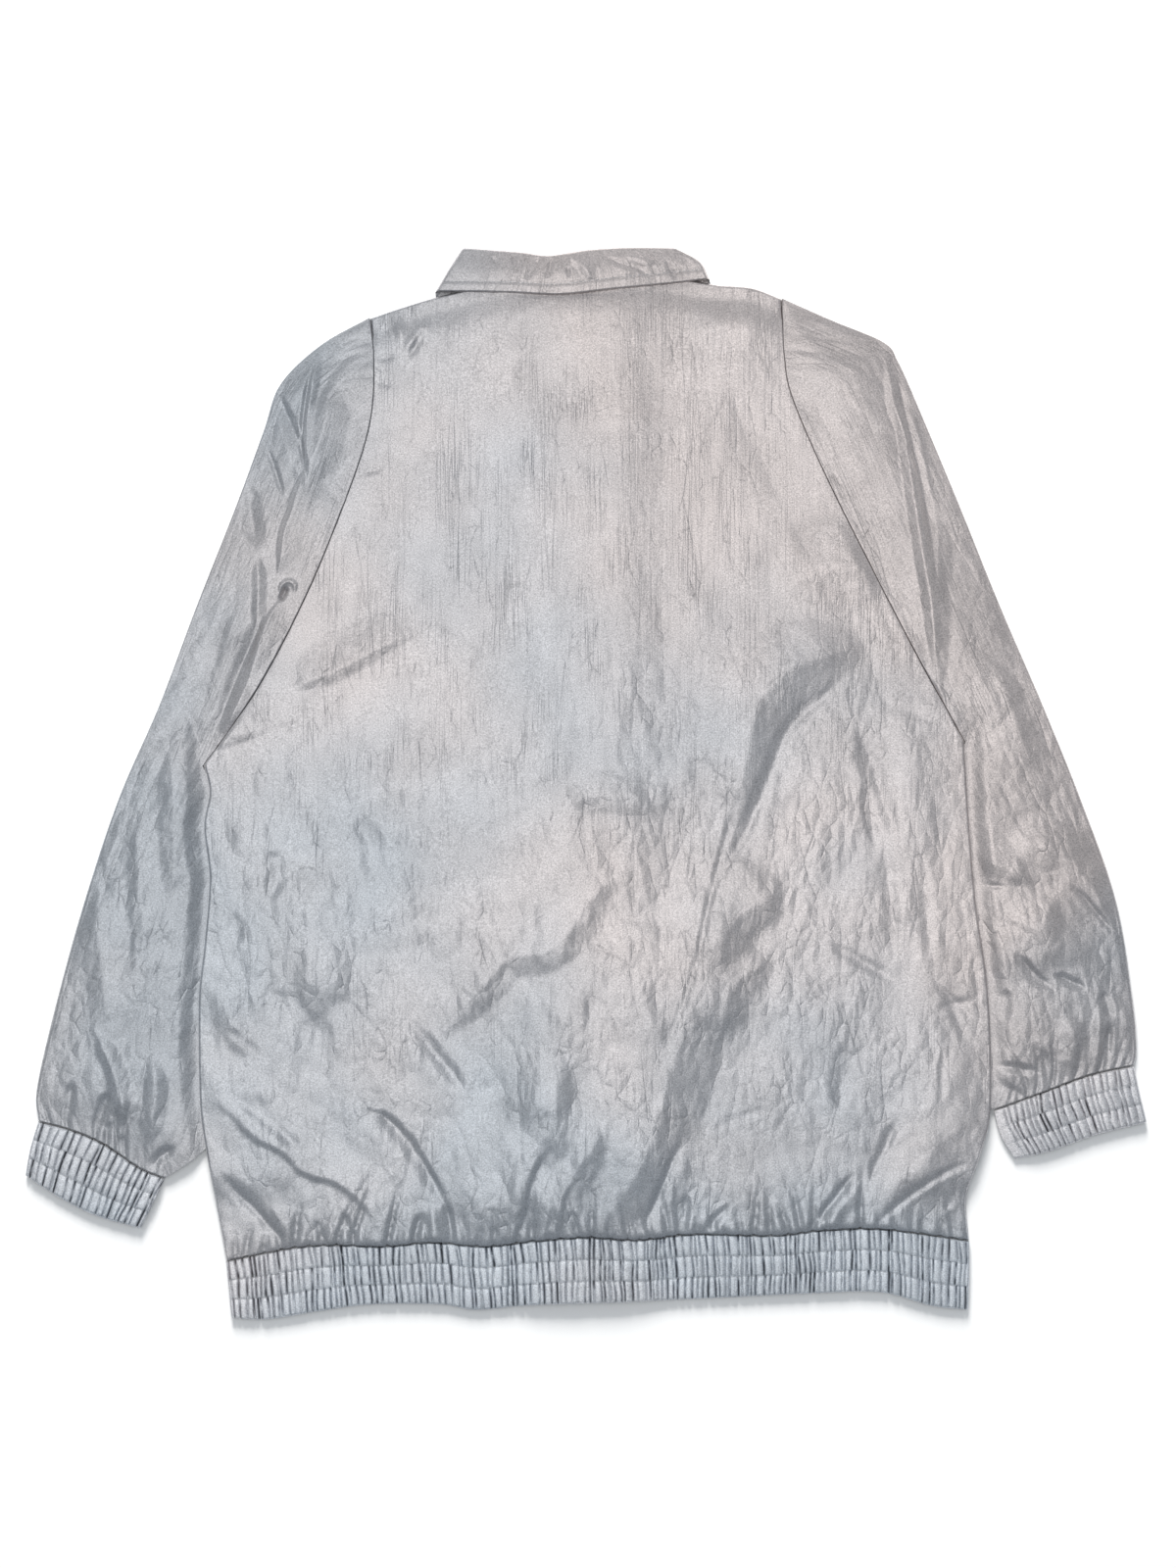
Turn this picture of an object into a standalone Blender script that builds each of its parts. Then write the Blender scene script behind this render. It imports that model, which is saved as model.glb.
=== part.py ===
"""Snap-front nylon jacket, laid out flat with its front down and its back up.

The collar points to +Y and the hem to -Y.  The floor is z = 0.
All tables and sizes are in millimetres.
"""
from collections import namedtuple

import bmesh
import bpy
import numpy as np

MM = 0.001

# Cloth and the way it is stacked
WALL = 1.3
SEAM = 0.3
AIR = 0.4
LAP_HALF = 18.0
LAP_EASE = 45.0
PLACKET_LIFT = 1.2
LAP_LIFT = 2.8
SLEEVE_STACK = 2 * WALL + AIR
TUCK_LIFT = SLEEVE_STACK + SEAM
TUCK_REACH = 36.0
TUCK_EASE = 40.0
TUCK_LOW_Y, TUCK_LOW_EASE = -312.0, 30.0
TUCK_TOP_Y, TUCK_TOP_EASE = 78.0, 44.0
LEAF_LIFT = WALL + SEAM
LEAF_REACH = 125.0
NECK_X, NECK_Y = 0.0, 375.0

# Overall widths and lengths of the pieces
BODY_WIDTH = 540.0
BODY_LENGTH = 700.0
SLEEVE_WIDTH = 120.0
CUFF_WIDTH = 100.0
BAND_WIDTH = 547.0
COLLAR_WIDTH = 190.0
NECK_FRONT_Y = 288.0

# Fullness of the cloth over what it lies on
BODY_PUFF = 4.0
BODY_EASE = 60.0
SLEEVE_PUFF = 4.5
SLEEVE_EASE = 30.0
COLLAR_CLEAR = 1.6
COLLAR_PUFF = 2.4

# Gathers and channels
BAND_GATHERS = 73
BAND_RISE = 2.2
CUFF_GATHERS = 18
CUFF_RISE = 1.8

# Snaps
SNAP_RADIUS = 7.0
SNAP_THICK = 0.9
SNAP_TOP_Y = 262.0
SNAP_STEP = 103.0
SNAP_COUNT = 7

# Where the side seam turns into the armhole, and the shoulder into the neck
UNDERARM_SHARE = 0.5
SHOULDER_SHARE = 0.14
SLEEVE_UNDERARM = 0.55
SLEEVE_TIP = 0.012
ARMHOLE_ROWS = 13
LEFT_LAP_SHARE = 0.516
RIGHT_LAP_SHARE = 0.450
FRONT_COLUMNS = 13

Spot = namedtuple("Spot", "x y")
Fold = namedtuple("Fold", "x0 y0 x1 y1 bow rise left right")


def spots(*rows):
    """Outline rows as named x and y."""
    return [Spot(*row) for row in rows]


def folds(*rows):
    """Fold rows: start, end, sideways bow, rise, and the reach of each flank."""
    return [Fold(*row) for row in rows]


# Outlines, each row an x and a y
LEFT_SIDE = spots((-265, -351), (-273, -307), (-279, -272), (-284, -235), (-285, -160),
                  (-281, -120), (-277, -70), (-281, -32), (-277, -6), (-281, 14))
LEFT_ARMHOLE = spots((-281, 14), (-243, 68), (-207, 136), (-176, 211), (-159, 265),
                     (-156, 310), (-159, 343))
RIGHT_SIDE = spots((282, -336), (280, -304), (289, -276), (297, -245), (298, -200),
                   (295, -145), (287, -89), (282, -30), (278, 32))
RIGHT_ARMHOLE = spots((278, 32), (249, 84), (215, 149), (177, 225), (152, 283),
                      (146, 313), (144, 357))
LEFT_SHOULDER = spots((-159, 343), (-138, 350), (-112, 358))
NECK = spots((-112, 358), (-60, 370), (0, 373), (60, 373), (98, 367))
RIGHT_SHOULDER = spots((98, 367), (122, 365), (144, 357))
FRONT_NECK_LEFT = spots((-112, 358), (-88, 326), (-46, 298),
                        (LAP_HALF, NECK_FRONT_Y))
FRONT_NECK_RIGHT = spots((-LAP_HALF, NECK_FRONT_Y), (40, 298), (78, 328), (98, 367))
BAND_SEAM = spots((-265, -351), (-215, -341), (-185, -339), (-148, -340), (-113, -337),
                  (-75, -340), (-40, -336), (0, -333), (39, -335), (80, -331),
                  (138, -332), (175, -328), (215, -327), (248, -331), (282, -336))
BAND_HEM = spots((-261, -393), (-235, -394), (-197, -388), (-158, -383), (-107, -383),
                 (-80, -387), (-35, -383), (55, -380), (163, -375), (216, -374),
                 (254, -384), (281, -387))
LEFT_OUTER = spots((-159, 343), (-195, 323), (-225, 294), (-238, 258), (-259, 201),
                   (-287, 130), (-314, 58), (-344, -11), (-369, -86), (-389, -158),
                   (-404, -223), (-403, -248))
LEFT_INNER = spots((-282, 13), (-284, -8), (-274, -36), (-259, -80), (-253, -140),
                   (-253, -200), (-262, -245), (-283, -271), (-310, -290))
LEFT_CUFF_SEAM = spots((-403, -248), (-377, -255), (-354, -265), (-329, -282), (-310, -290))
LEFT_CUFF_HEM = spots((-412.5, -288), (-388, -304), (-362, -317), (-328, -327))
RIGHT_OUTER = spots((144, 357), (181, 341), (219, 325), (230, 310), (246, 274),
                    (276, 202), (305, 130), (336, 58), (365, -14), (390, -86),
                    (402, -158), (405, -194), (403, -207))
RIGHT_INNER = spots((279, 31), (281, 8), (273, -30), (264, -80), (266, -140),
                    (272, -190), (284, -222), (300, -240))
RIGHT_CUFF_SEAM = spots((300, -240), (335, -227), (370, -214), (403, -207))
RIGHT_CUFF_HEM = spots((316, -276), (342, -270), (376, -258), (412.5, -249))
COLLAR_EDGE = spots((-111, 362), (-58, 361), (-20, 359), (20, 363), (66, 368), (91, 371))
COLLAR_ROLL = spots((-91, 394.2), (-50, 391), (-27, 388), (0, 392), (36, 394), (66, 394))
LEAF_EDGE_LEFT = spots((-111, 362), (-106, 325), (-82, 287), (-42, 262))
LEAF_ROLL_LEFT = spots((-91, 394.2), (-84, 350), (-52, 314), (-4, 299))
LEAF_EDGE_RIGHT = spots((91, 371), (95, 330), (76, 287), (42, 262))
LEAF_ROLL_RIGHT = spots((66, 394), (76, 350), (48, 314), (4, 299))

# Main folds: start x, y, end x, y, bow, rise, left flank, right flank
BACK_FOLDS = folds(
    (204, 101, 120, 43, -19, 7.0, 15, 34),
    (122, 46, 92, -45, 4, 6.0, 13, 30),
    (112, -55, 63, -192, 8, 9.0, 30, 10),
    (64, -190, 32, -291, 3, 8.0, 26, 10),
    (29, -68, -97, -176, 0, 8.0, 14, 34),
    (-16, -195, -42, -270, 4, 7.0, 22, 14),
    (-42, -268, -46, -328, 0, 5.0, 10, 11),
    (13, -256, -19, -325, -3, 6.5, 12, 13),
    (66, -266, 43, -323, 0, -4.5, 10, 10),
    (-128, -172, -86, -226, 0, -4.5, 11, 11),
    (-165, -241, -107, -310, 15, -5.5, 10, 10),
    (-172, -264, -122, -324, 12, 5.0, 10, 16),
    (-279, -276, -218, -340, 0, -4.5, 9, 9),
    (-262, -260, -206, -330, 2, 6.5, 13, 12),
    (-268, -243, -148, -335, 6, -5.0, 9, 10),
    (-222, -258, -140, -322, 4, 6.0, 15, 12),
    (290, -196, 205, -300, 2, 5.0, 12, 32),
    (297, -226, 217, -318, 0, -4.5, 10, 10),
    (292, -270, 208, -326, 4, 6.0, 12, 11),
    (184, -284, 156, -326, 2, -4.5, 9, 9),
    (199, -284, 170, -326, 2, 5.0, 9, 9),
    (199, 42, 230, -42, 3, -3.0, 12, 12),
    (-214, 82, -128, 120, -6, 4.5, 26, 14),
    (-212, -60, -204, -215, 0, 4.5, 28, 42),
    (-169, -19, -158, -73, 4, -3.0, 12, 12),
    (128, 150, 214, 140, 0, 4.0, 30, 26),
)
LEFT_SLEEVE_FOLDS = folds(
    (-195, 320, -207, 232, -4, 6.5, 9, 9),
    (-226, 289, -206, 236, 2, -4.5, 9, 9),
    (-187, 290, -207, 232, 0, 4.5, 14, 8),
    (-207, 236, -222, 172, -2, 5.0, 16, 8),
    (-222, 148, -272, 30, -6, 5.0, 14, 8),
    (-244, 156, -282, 62, 10, -4.0, 12, 14),
    (-330, -30, -332, -148, 4, 4.0, 16, 20),
    (-356, -64, -352, -176, 4, 3.5, 12, 12),
    (-360, -186, -341, -244, 8, 4.5, 10, 9),
    (-318, -200, -320, -262, 0, 4.0, 12, 11),
)
RIGHT_SLEEVE_FOLDS = folds(
    (217, 318, 244, 164, -4, 6.0, 8, 14),
    (244, 164, 264, 62, -4, 5.0, 8, 14),
    (286, -60, 332, -76, 4, -4.0, 10, 10),
    (312, -30, 352, -80, -4, -3.5, 11, 11),
    (348, -54, 392, -114, -10, -4.5, 11, 13),
    (318, -126, 344, -150, 3, -4.0, 10, 10),
    (380, -156, 382, -206, -6, -4.0, 9, 9),
    (338, -186, 340, -220, 0, 4.0, 11, 11),
    (304, -100, 372, -128, 8, 5.0, 16, 15),
)

# Cloth and snap colours: red, green, blue, roughness, metallic
Finish = namedtuple("Finish", "red green blue rough metal")
NYLON = Finish(0.47, 0.48, 0.51, 0.5, 0.0)
RIB = Finish(0.44, 0.46, 0.48, 0.55, 0.0)
METAL = Finish(0.55, 0.56, 0.58, 0.35, 1.0)


def smooth(value):
    """Soft step from 0 to 1."""
    value = np.clip(value, 0.0, 1.0)
    return value * value * (3.0 - 2.0 * value)


def curve(rows, per_span=12):
    """Smooth curve through the rows, as a function of the share of its length."""
    points = np.array(rows, dtype=float)
    padded = np.vstack([2 * points[0] - points[1], points, 2 * points[-1] - points[-2]])
    pieces = []
    step = np.arange(per_span)[:, None] / per_span
    for index in range(len(points) - 1):
        before, start, end, after = padded[index:index + 4]
        slope_in = 0.5 * (end - before)
        slope_out = 0.5 * (after - start)
        pieces.append((2 * step ** 3 - 3 * step ** 2 + 1) * start
                      + (step ** 3 - 2 * step ** 2 + step) * slope_in
                      + (3 * step ** 2 - 2 * step ** 3) * end
                      + (step ** 3 - step ** 2) * slope_out)
    line = np.vstack(pieces + [points[-1:]])
    length = np.concatenate([[0.0], np.cumsum(np.linalg.norm(np.diff(line, axis=0), axis=1))])
    length /= length[-1]

    def at(share):
        return np.stack([np.interp(share, length, line[:, 0]),
                         np.interp(share, length, line[:, 1])], axis=-1)
    return at


def joined(first, second, share):
    """Two curves end to end, meeting at the given share."""
    def at(value):
        value = np.asarray(value, dtype=float)
        low = first(np.clip(value / share, 0, 1))
        high = second(np.clip((value - share) / (1 - share), 0, 1))
        return np.where((value < share)[..., None], low, high)
    return at


def patch(bottom, top, left, right):
    """Plan position inside four boundary curves."""
    def at(across, up):
        s = np.asarray(across, dtype=float)[..., None]
        t = np.asarray(up, dtype=float)[..., None]
        sides = (1 - s) * left(up) + s * right(up)
        ends = (1 - t) * bottom(across) + t * top(across)
        corners = ((1 - s) * (1 - t) * bottom(0.0) + s * (1 - t) * bottom(1.0)
                   + (1 - s) * t * top(0.0) + s * t * top(1.0))
        return sides + ends - corners
    return at


def fold_height(table, x, y):
    """Summed height of the folds of a table at a plan position."""
    total = np.zeros_like(x)
    for row in table:
        run_x, run_y = row.x1 - row.x0, row.y1 - row.y0
        length = np.hypot(run_x, run_y)
        along = ((x - row.x0) * run_x + (y - row.y0) * run_y) / length ** 2
        aside = ((y - row.y0) * run_x - (x - row.x0) * run_y) / length
        inside = np.clip(along, 0, 1)
        aside = aside - row.bow * 4 * inside * (1 - inside)
        reach = np.where(aside > 0, row.left, row.right)
        past = (along - inside) * length / np.minimum(row.left, row.right)
        taper = 0.35 + 0.65 * smooth(3 * np.minimum(inside, 1 - inside))
        total += row.rise * taper * np.exp(-(aside / reach) ** 2 - past ** 2)
    return total


def side_x(rows, y):
    """Edge position of a side seam at a height."""
    heights = [row.y for row in rows]
    return np.interp(y, heights, [row.x for row in rows])


def inside_side(x, y):
    """Distance in from the nearer side seam, negative outside the body."""
    return np.minimum(x - side_x(LEFT_SIDE, y), side_x(RIGHT_SIDE, y) - x)


def lay(x, y):
    """Lift of the fronts over the tucked sleeves and the collar leaves."""
    tucked = smooth((TUCK_REACH + TUCK_EASE - inside_side(x, y)) / TUCK_EASE)
    tucked = tucked * smooth((y - TUCK_LOW_Y) / TUCK_LOW_EASE)
    tucked = tucked * smooth((TUCK_TOP_Y - y) / TUCK_TOP_EASE)
    leaf = smooth((LEAF_REACH + TUCK_EASE - np.hypot(x - NECK_X, y - NECK_Y)) / TUCK_EASE)
    return TUCK_LIFT * tucked + LEAF_LIFT * leaf


def lap(x):
    """Share of the centre front lap, eased out to both sides."""
    return smooth((LAP_HALF + 3 + LAP_EASE - np.abs(x)) / LAP_EASE)


def back_rest(x, y):
    """Lowest outer height the back may have over the fronts."""
    return lay(x, y) + LAP_LIFT * lap(x) + 2 * WALL + SEAM


def stations(*counts):
    """Even shares from 0 to 1, with a row on each break given as (share, count)."""
    values = [np.zeros(1)]
    start = 0.0
    for share, count in counts:
        values.append(start + (share - start) * np.arange(1, count + 1) / count)
        start = share
    return np.concatenate(values)


def finish(name, look):
    """Material of a cloth or a snap."""
    material = bpy.data.materials.get(name) or bpy.data.materials.new(name)
    material.use_nodes = True
    shader = material.node_tree.nodes["Principled BSDF"]
    shader.inputs["Base Color"].default_value = (look.red, look.green, look.blue, 1)
    shader.inputs["Roughness"].default_value = look.rough
    shader.inputs["Metallic"].default_value = look.metal
    return material


def wall(name, outer, inner, material, plain_inside=False):
    """Cloth wall between an outer and an inner grid of points (rows, columns, xyz)."""
    rows, columns = outer.shape[:2]
    mesh = bmesh.new()
    bmesh.ops.create_grid(mesh, x_segments=columns - 1, y_segments=rows - 1, size=0.5)
    slot = mesh.verts.layers.int.new("slot")
    outer_flat = outer.reshape(-1, 3) * MM
    inner_flat = inner.reshape(-1, 3) * MM
    mesh.verts.ensure_lookup_table()
    for index, vert in enumerate(mesh.verts):
        vert[slot] = index
        vert.co = outer_flat[index]
    made = bmesh.ops.extrude_face_region(mesh, geom=mesh.faces[:], use_keep_orig=True)
    inside = {item for item in made["geom"] if isinstance(item, bmesh.types.BMVert)}
    for vert in inside:
        vert.co = inner_flat[vert[slot]]
    if plain_inside:
        rungs = [edge for edge in mesh.edges if all(
            vert in inside and 0 < vert[slot] // columns < rows - 1 for vert in edge.verts)
            and edge.verts[0][slot] // columns == edge.verts[1][slot] // columns]
        bmesh.ops.dissolve_edges(mesh, edges=rungs, use_verts=True)
    bmesh.ops.recalc_face_normals(mesh, faces=mesh.faces[:])
    data = bpy.data.meshes.new(name)
    mesh.to_mesh(data)
    mesh.free()
    data.attributes.remove(data.attributes["slot"])
    data.materials.append(material)
    item = bpy.data.objects.new(name, data)
    bpy.context.collection.objects.link(item)
    return item


def lifted(plan, height):
    """Plan points with a height."""
    return np.concatenate([plan, np.broadcast_to(height, plan.shape[:2])[..., None]], axis=2)


def grid(across, up):
    """Two grids of shares."""
    return np.meshgrid(across, up)


def sheet(name, plan, low, material):
    """Cloth panel with its lower face at the given height."""
    return wall(name, lifted(plan, low + WALL), lifted(plan, low), material)


def body_patch(bottom, top, left, right, inset):
    """Body outline, held in from the sewn edges by half a seam."""
    whole = patch(bottom, top, left, right)

    def at(across, up):
        return whole(inset.x + (1 - 2 * inset.x) * across, inset.y + (1 - 2 * inset.y) * up)
    return at


def back_height(across, up, x, y):
    """Outer height of the back panel."""
    edge = np.minimum(np.minimum(across, 1 - across) * BODY_WIDTH, (1 - up) * BODY_LENGTH)
    side = 0.2 + 0.8 * smooth(edge / BODY_EASE)
    armhole = smooth((up - UNDERARM_SHARE) / 0.08) * smooth((1 - up) / 0.08)
    fullness = np.maximum(side, 0.75 * armhole) * (0.35 + 0.65 * smooth(up / 0.1))
    held = smooth(edge / 22 + 0.35 * armhole) * (0.3 + 0.7 * smooth(up / 0.04))
    puff = BODY_PUFF * fullness + held * fold_height(BACK_FOLDS, x, y)
    return back_rest(x, y) + np.maximum(puff, 0.6 * smooth(edge / 12))


def make_back(material):
    """Back panel with its main folds."""
    left = joined(curve(LEFT_SIDE), curve(LEFT_ARMHOLE), UNDERARM_SHARE)
    right = joined(curve(RIGHT_SIDE), curve(RIGHT_ARMHOLE), UNDERARM_SHARE)
    top = joined(curve(LEFT_SHOULDER), joined(curve(NECK), curve(RIGHT_SHOULDER),
                 (1 - 2 * SHOULDER_SHARE) / (1 - SHOULDER_SHARE)), SHOULDER_SHARE)
    place = body_patch(curve(BAND_SEAM), top, left, right, Spot(0.0004, 0.0003))
    across, up = grid(
        stations((SHOULDER_SHARE, 5), (1 - SHOULDER_SHARE, 20), (1, 5)),
        stations((UNDERARM_SHARE, 22), (1, ARMHOLE_ROWS)))
    plan = place(across, up)
    sheet("back", plan, back_height(across, up, plan[..., 0], plan[..., 1]) - WALL, material)


def lap_edge(seam_end, x):
    """Front edge from the band seam up to the neck."""
    return curve(spots(seam_end, (x, -200), (x, 0), (x, NECK_FRONT_Y)))


def make_front(name, sign, material):
    """One front panel, flat on the floor and lifted over what it lies on."""
    seam = curve(BAND_SEAM)
    if sign < 0:
        side = joined(curve(LEFT_SIDE), curve(LEFT_ARMHOLE), UNDERARM_SHARE)
        top = joined(curve(LEFT_SHOULDER), curve(FRONT_NECK_LEFT), 5 / FRONT_COLUMNS)
        place = patch(lambda share: seam(LEFT_LAP_SHARE * share), top, side,
                      lap_edge(seam(LEFT_LAP_SHARE), LAP_HALF))
        lift, low_edge, high_edge = PLACKET_LIFT, 0.004, 0.0
    else:
        side = joined(curve(RIGHT_SIDE), curve(RIGHT_ARMHOLE), UNDERARM_SHARE)
        top = joined(curve(FRONT_NECK_RIGHT), curve(RIGHT_SHOULDER), 1 - 5 / FRONT_COLUMNS)
        place = patch(lambda share: seam(RIGHT_LAP_SHARE + (1 - RIGHT_LAP_SHARE) * share), top,
                      lap_edge(seam(RIGHT_LAP_SHARE), -LAP_HALF), side)
        lift, low_edge, high_edge = LAP_LIFT, 0.0, 0.004
    across, up = grid(stations((1, FRONT_COLUMNS)),
                      stations((UNDERARM_SHARE, 11), (1, ARMHOLE_ROWS)))
    held = smooth((up - UNDERARM_SHARE) / 0.06)
    plan = place(low_edge * held + (1 - (low_edge + high_edge) * held) * across,
                 0.0008 + 0.999 * up)
    x, y = plan[..., 0], plan[..., 1]
    sheet(name, plan, lay(x, y) + lift * lap(x), material)


def folded_columns(count_top, count_low):
    """Shares across a folded tube, from its sewn edge over the top and back underneath."""
    rim = 0.01
    top = 1 - (1 - rim) * np.arange(count_top + 1) / count_top
    low = rim + (1 - rim) * np.arange(count_low + 1) / count_low
    share = np.concatenate([top, [0.0], low])
    level = np.concatenate([np.ones(count_top + 1), [0.5], np.zeros(count_low + 1)])
    return share, level


def folded_tube(name, place, height, width, rows, counts, material, plain_inside=False):
    """Flattened cloth tube, folded at one edge and sewn at the other."""
    share, level = folded_columns(*counts)
    across, along = grid(share, rows)
    level = np.broadcast_to(level, across.shape)
    plan = place(across, along)
    narrow = place(WALL / width + (1 - WALL / width) * across, along)
    top, under = height(across, along, plan[..., 0], plan[..., 1])
    edge = 0.5 * SLEEVE_STACK
    outer = np.where(level == 1, top, np.where(level == 0, 0.0, edge))
    inner = np.where(level == 1, under - WALL, np.where(level == 0, WALL, edge))
    wall(name, lifted(plan, outer), lifted(narrow, inner), material, plain_inside)


def sleeve_height(table):
    """Upper height of a sleeve with its folds, low where it lies under the body."""
    def at(across, along, x, y):
        clear = np.maximum(smooth((-inside_side(x, y) - 12) / 18), smooth((y - 24) / 36))
        from_fold = across * (60 + 60 * along)
        full = (0.15 + 0.85 * smooth(from_fold / SLEEVE_EASE)) * (1 - 0.33 * smooth(2 * across - 1))
        near_cuff = 0.3 + 0.7 * smooth((1 - along) / 0.06)
        puff = SLEEVE_PUFF * full + smooth(from_fold / 16) * fold_height(table, x, y)
        top = SLEEVE_STACK + clear * near_cuff * np.maximum(puff, 0.3)
        return top, top
    return at


def make_sleeve(name, armhole, outer, inner, cuff, table, material):
    """Sleeve from the armhole to the cuff seam."""
    fold_edge = curve(outer)
    sewn_edge = joined(curve(armhole), curve(inner), SLEEVE_UNDERARM)
    end = curve(cuff)

    def place(across, along):
        along = np.clip(along, SLEEVE_TIP, 0.9992)
        s = across[..., None]
        straight = (1 - s) * fold_edge(1.0) + s * sewn_edge(1.0)
        shaped = smooth((along - 0.85) / 0.15)[..., None] * (end(across) - straight)
        return (1 - s) * fold_edge(along) + s * sewn_edge(along) + shaped
    rows = stations((SLEEVE_UNDERARM, ARMHOLE_ROWS), (0.94, 10), (1, 2))
    folded_tube(name, place, sleeve_height(table), SLEEVE_WIDTH, rows, (13, 4), material)


def channels():
    """Row shares of a three-channel elastic and how far each row is gathered."""
    share = np.array([0.0, 0.17, 0.335, 0.5, 0.665, 0.83, 1.0])
    gathered = np.array([0.45, 1.0, 0.35, 1.0, 0.35, 1.0, 0.45])
    return share, gathered


def gather(across, count, rise):
    """Height of a row of gathers, uneven along its length."""
    uneven = 0.8 + 0.2 * np.sin(9.0 * across + 1.0) * np.sin(23.0 * across)
    return rise * uneven * (0.5 - 0.5 * np.cos(2 * np.pi * count * across))


def make_cuff(name, seam, hem, left, right, material):
    """Elastic cuff, gathered on its upper side."""
    place = patch(curve(seam), curve(hem), curve(left), curve(right))
    share, gathered = channels()

    def seamed(across, along):
        return place(across, 0.014 + 0.986 * along)

    def height(across, along, x, y):
        waves = gather((across - 0.01) / 0.99, CUFF_GATHERS, CUFF_RISE)
        top = SLEEVE_STACK + 0.2 + waves * np.interp(along, share, gathered)
        return top, np.full_like(x, SLEEVE_STACK)
    folded_tube(name, seamed, height, CUFF_WIDTH, share, (2 * CUFF_GATHERS, 6), material, True)


def make_waistband(material):
    """Elastic strip from the centre front round the back to the centre front."""
    place = patch(curve(BAND_SEAM), curve(BAND_HEM),
                  curve(spots((-265, -351), (-263, -372), (-261, -393))),
                  curve(spots((282, -336), (282, -361), (281, -387))))
    share, gathered = channels()
    rim = 0.0025
    steps = np.arange(FRONT_COLUMNS + 1) / FRONT_COLUMNS
    under_left = np.maximum(LEFT_LAP_SHARE * (1 - steps), rim)
    top = rim + (1 - 2 * rim) * np.arange(2 * BAND_GATHERS + 1) / (2 * BAND_GATHERS)
    under_right = np.minimum(1 - (1 - RIGHT_LAP_SHARE) * steps, 1 - rim)
    across = np.concatenate([under_left, [0.0], top, [1.0], under_right])
    side = np.concatenate([np.full(len(steps), -1), [0], np.ones(len(top)), [0],
                           np.full(len(steps), -2)])
    across, along = grid(across, share)
    side = np.broadcast_to(side, across.shape)
    plan = place(across, 0.012 + 0.988 * along)
    inset = WALL / BAND_WIDTH
    narrow = place(inset + (1 - 2 * inset) * across, 0.012 + 0.988 * along)
    narrow = np.where((side < 0)[..., None], plan, narrow)
    x, y = plan[..., 0], plan[..., 1]
    floor = np.where(side == -1, PLACKET_LIFT, LAP_LIFT) * lap(x)
    rest = back_rest(x, y) + AIR
    waves = gather((across - rim) / (1 - 2 * rim), BAND_GATHERS, BAND_RISE)
    waves = waves * np.interp(along, share, gathered)
    turn = 0.5 * (2 * WALL + SEAM + AIR)
    outer = np.where(side == 1, rest + 0.2 + waves, np.where(side == 0, turn, floor))
    inner = np.where(side == 1, rest - WALL, np.where(side == 0, turn, floor + WALL))
    wall("waistband", lifted(plan, outer), lifted(narrow, inner), material, True)


def make_collar(material):
    """Collar fall: leaf under the left front, back fall, leaf under the right front."""
    back = patch(curve(COLLAR_EDGE), curve(COLLAR_ROLL),
                 curve(spots((-111, 362), (-101, 379), (-91, 394.2))),
                 curve(spots((91, 371), (84, 384), (66, 394))))
    left = patch(curve(LEAF_EDGE_LEFT), curve(LEAF_ROLL_LEFT),
                 curve(spots((-111, 362), (-101, 379), (-91, 394.2))),
                 curve(spots((-42, 262), (-24, 281), (-4, 299))))
    right = patch(curve(LEAF_EDGE_RIGHT), curve(LEAF_ROLL_RIGHT),
                  curve(spots((91, 371), (84, 384), (66, 394))),
                  curve(spots((42, 262), (24, 281), (4, 299))))
    rows = stations((1, 5))
    rim = 0.008
    leaf, up = grid(1 - np.arange(7) / 6 * (1 - 2 * rim), rows)
    shares = rim + (1 - 2 * rim) * np.arange(19) / 18
    over, up_over = grid(np.concatenate([[0.0], shares, [1.0]]), rows)
    inset = WALL / COLLAR_WIDTH
    plan = back(over, up_over)
    low = back_rest(plan[..., 0], plan[..., 1]) + SEAM + 0.1
    low = low + COLLAR_CLEAR * smooth(1.6 - 1.6 * up_over)
    swell = COLLAR_PUFF * np.sin(np.pi * over) ** 0.5 * np.sin(np.pi * (0.2 + 0.8 * up_over))
    ripple = 0.8 * np.sin(13.0 * over + 2.0 * up_over) ** 2 * np.sin(np.pi * over)
    depth = low + swell + ripple
    turned = (over == 0) | (over == 1)
    turn = 0.5 * (LEAF_LIFT + 4 * WALL + 3 * SEAM)
    level = np.where(turned, turn, depth + WALL)
    depth = np.where(turned, turn, depth)
    outer = [lifted(left(leaf, up), 0.0), lifted(back(over, up_over), level),
             lifted(right(leaf[:, ::-1], up), 0.0)]
    inner = [lifted(left(leaf, up), WALL),
             lifted(back(inset + (1 - 2 * inset) * over, up_over), depth),
             lifted(right(leaf[:, ::-1], up), WALL)]
    wall("collar_fall", np.concatenate(outer, axis=1), np.concatenate(inner, axis=1), material)


def make_stand(material):
    """Low stand between the neck edge of the back and the roll of the fall."""
    roll = curve(spots((-84, 393), (-27, 386), (0, 389), (62, 392)))
    neck = curve(spots((-99, 366.5), (-60, 371.6), (0, 373.6), (60, 373.6), (88, 370)))
    place = patch(neck, roll, curve(spots((-99, 366.5), (-91, 380), (-84, 393))),
                  curve(spots((88, 370), (76, 381), (62, 392))))
    across, up = grid(stations((1, 14)), stations((1, 3)))
    plan = place(across, up)
    sheet("collar_stand", plan, back_rest(plan[..., 0], plan[..., 1]) - WALL + 0.1, material)


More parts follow.
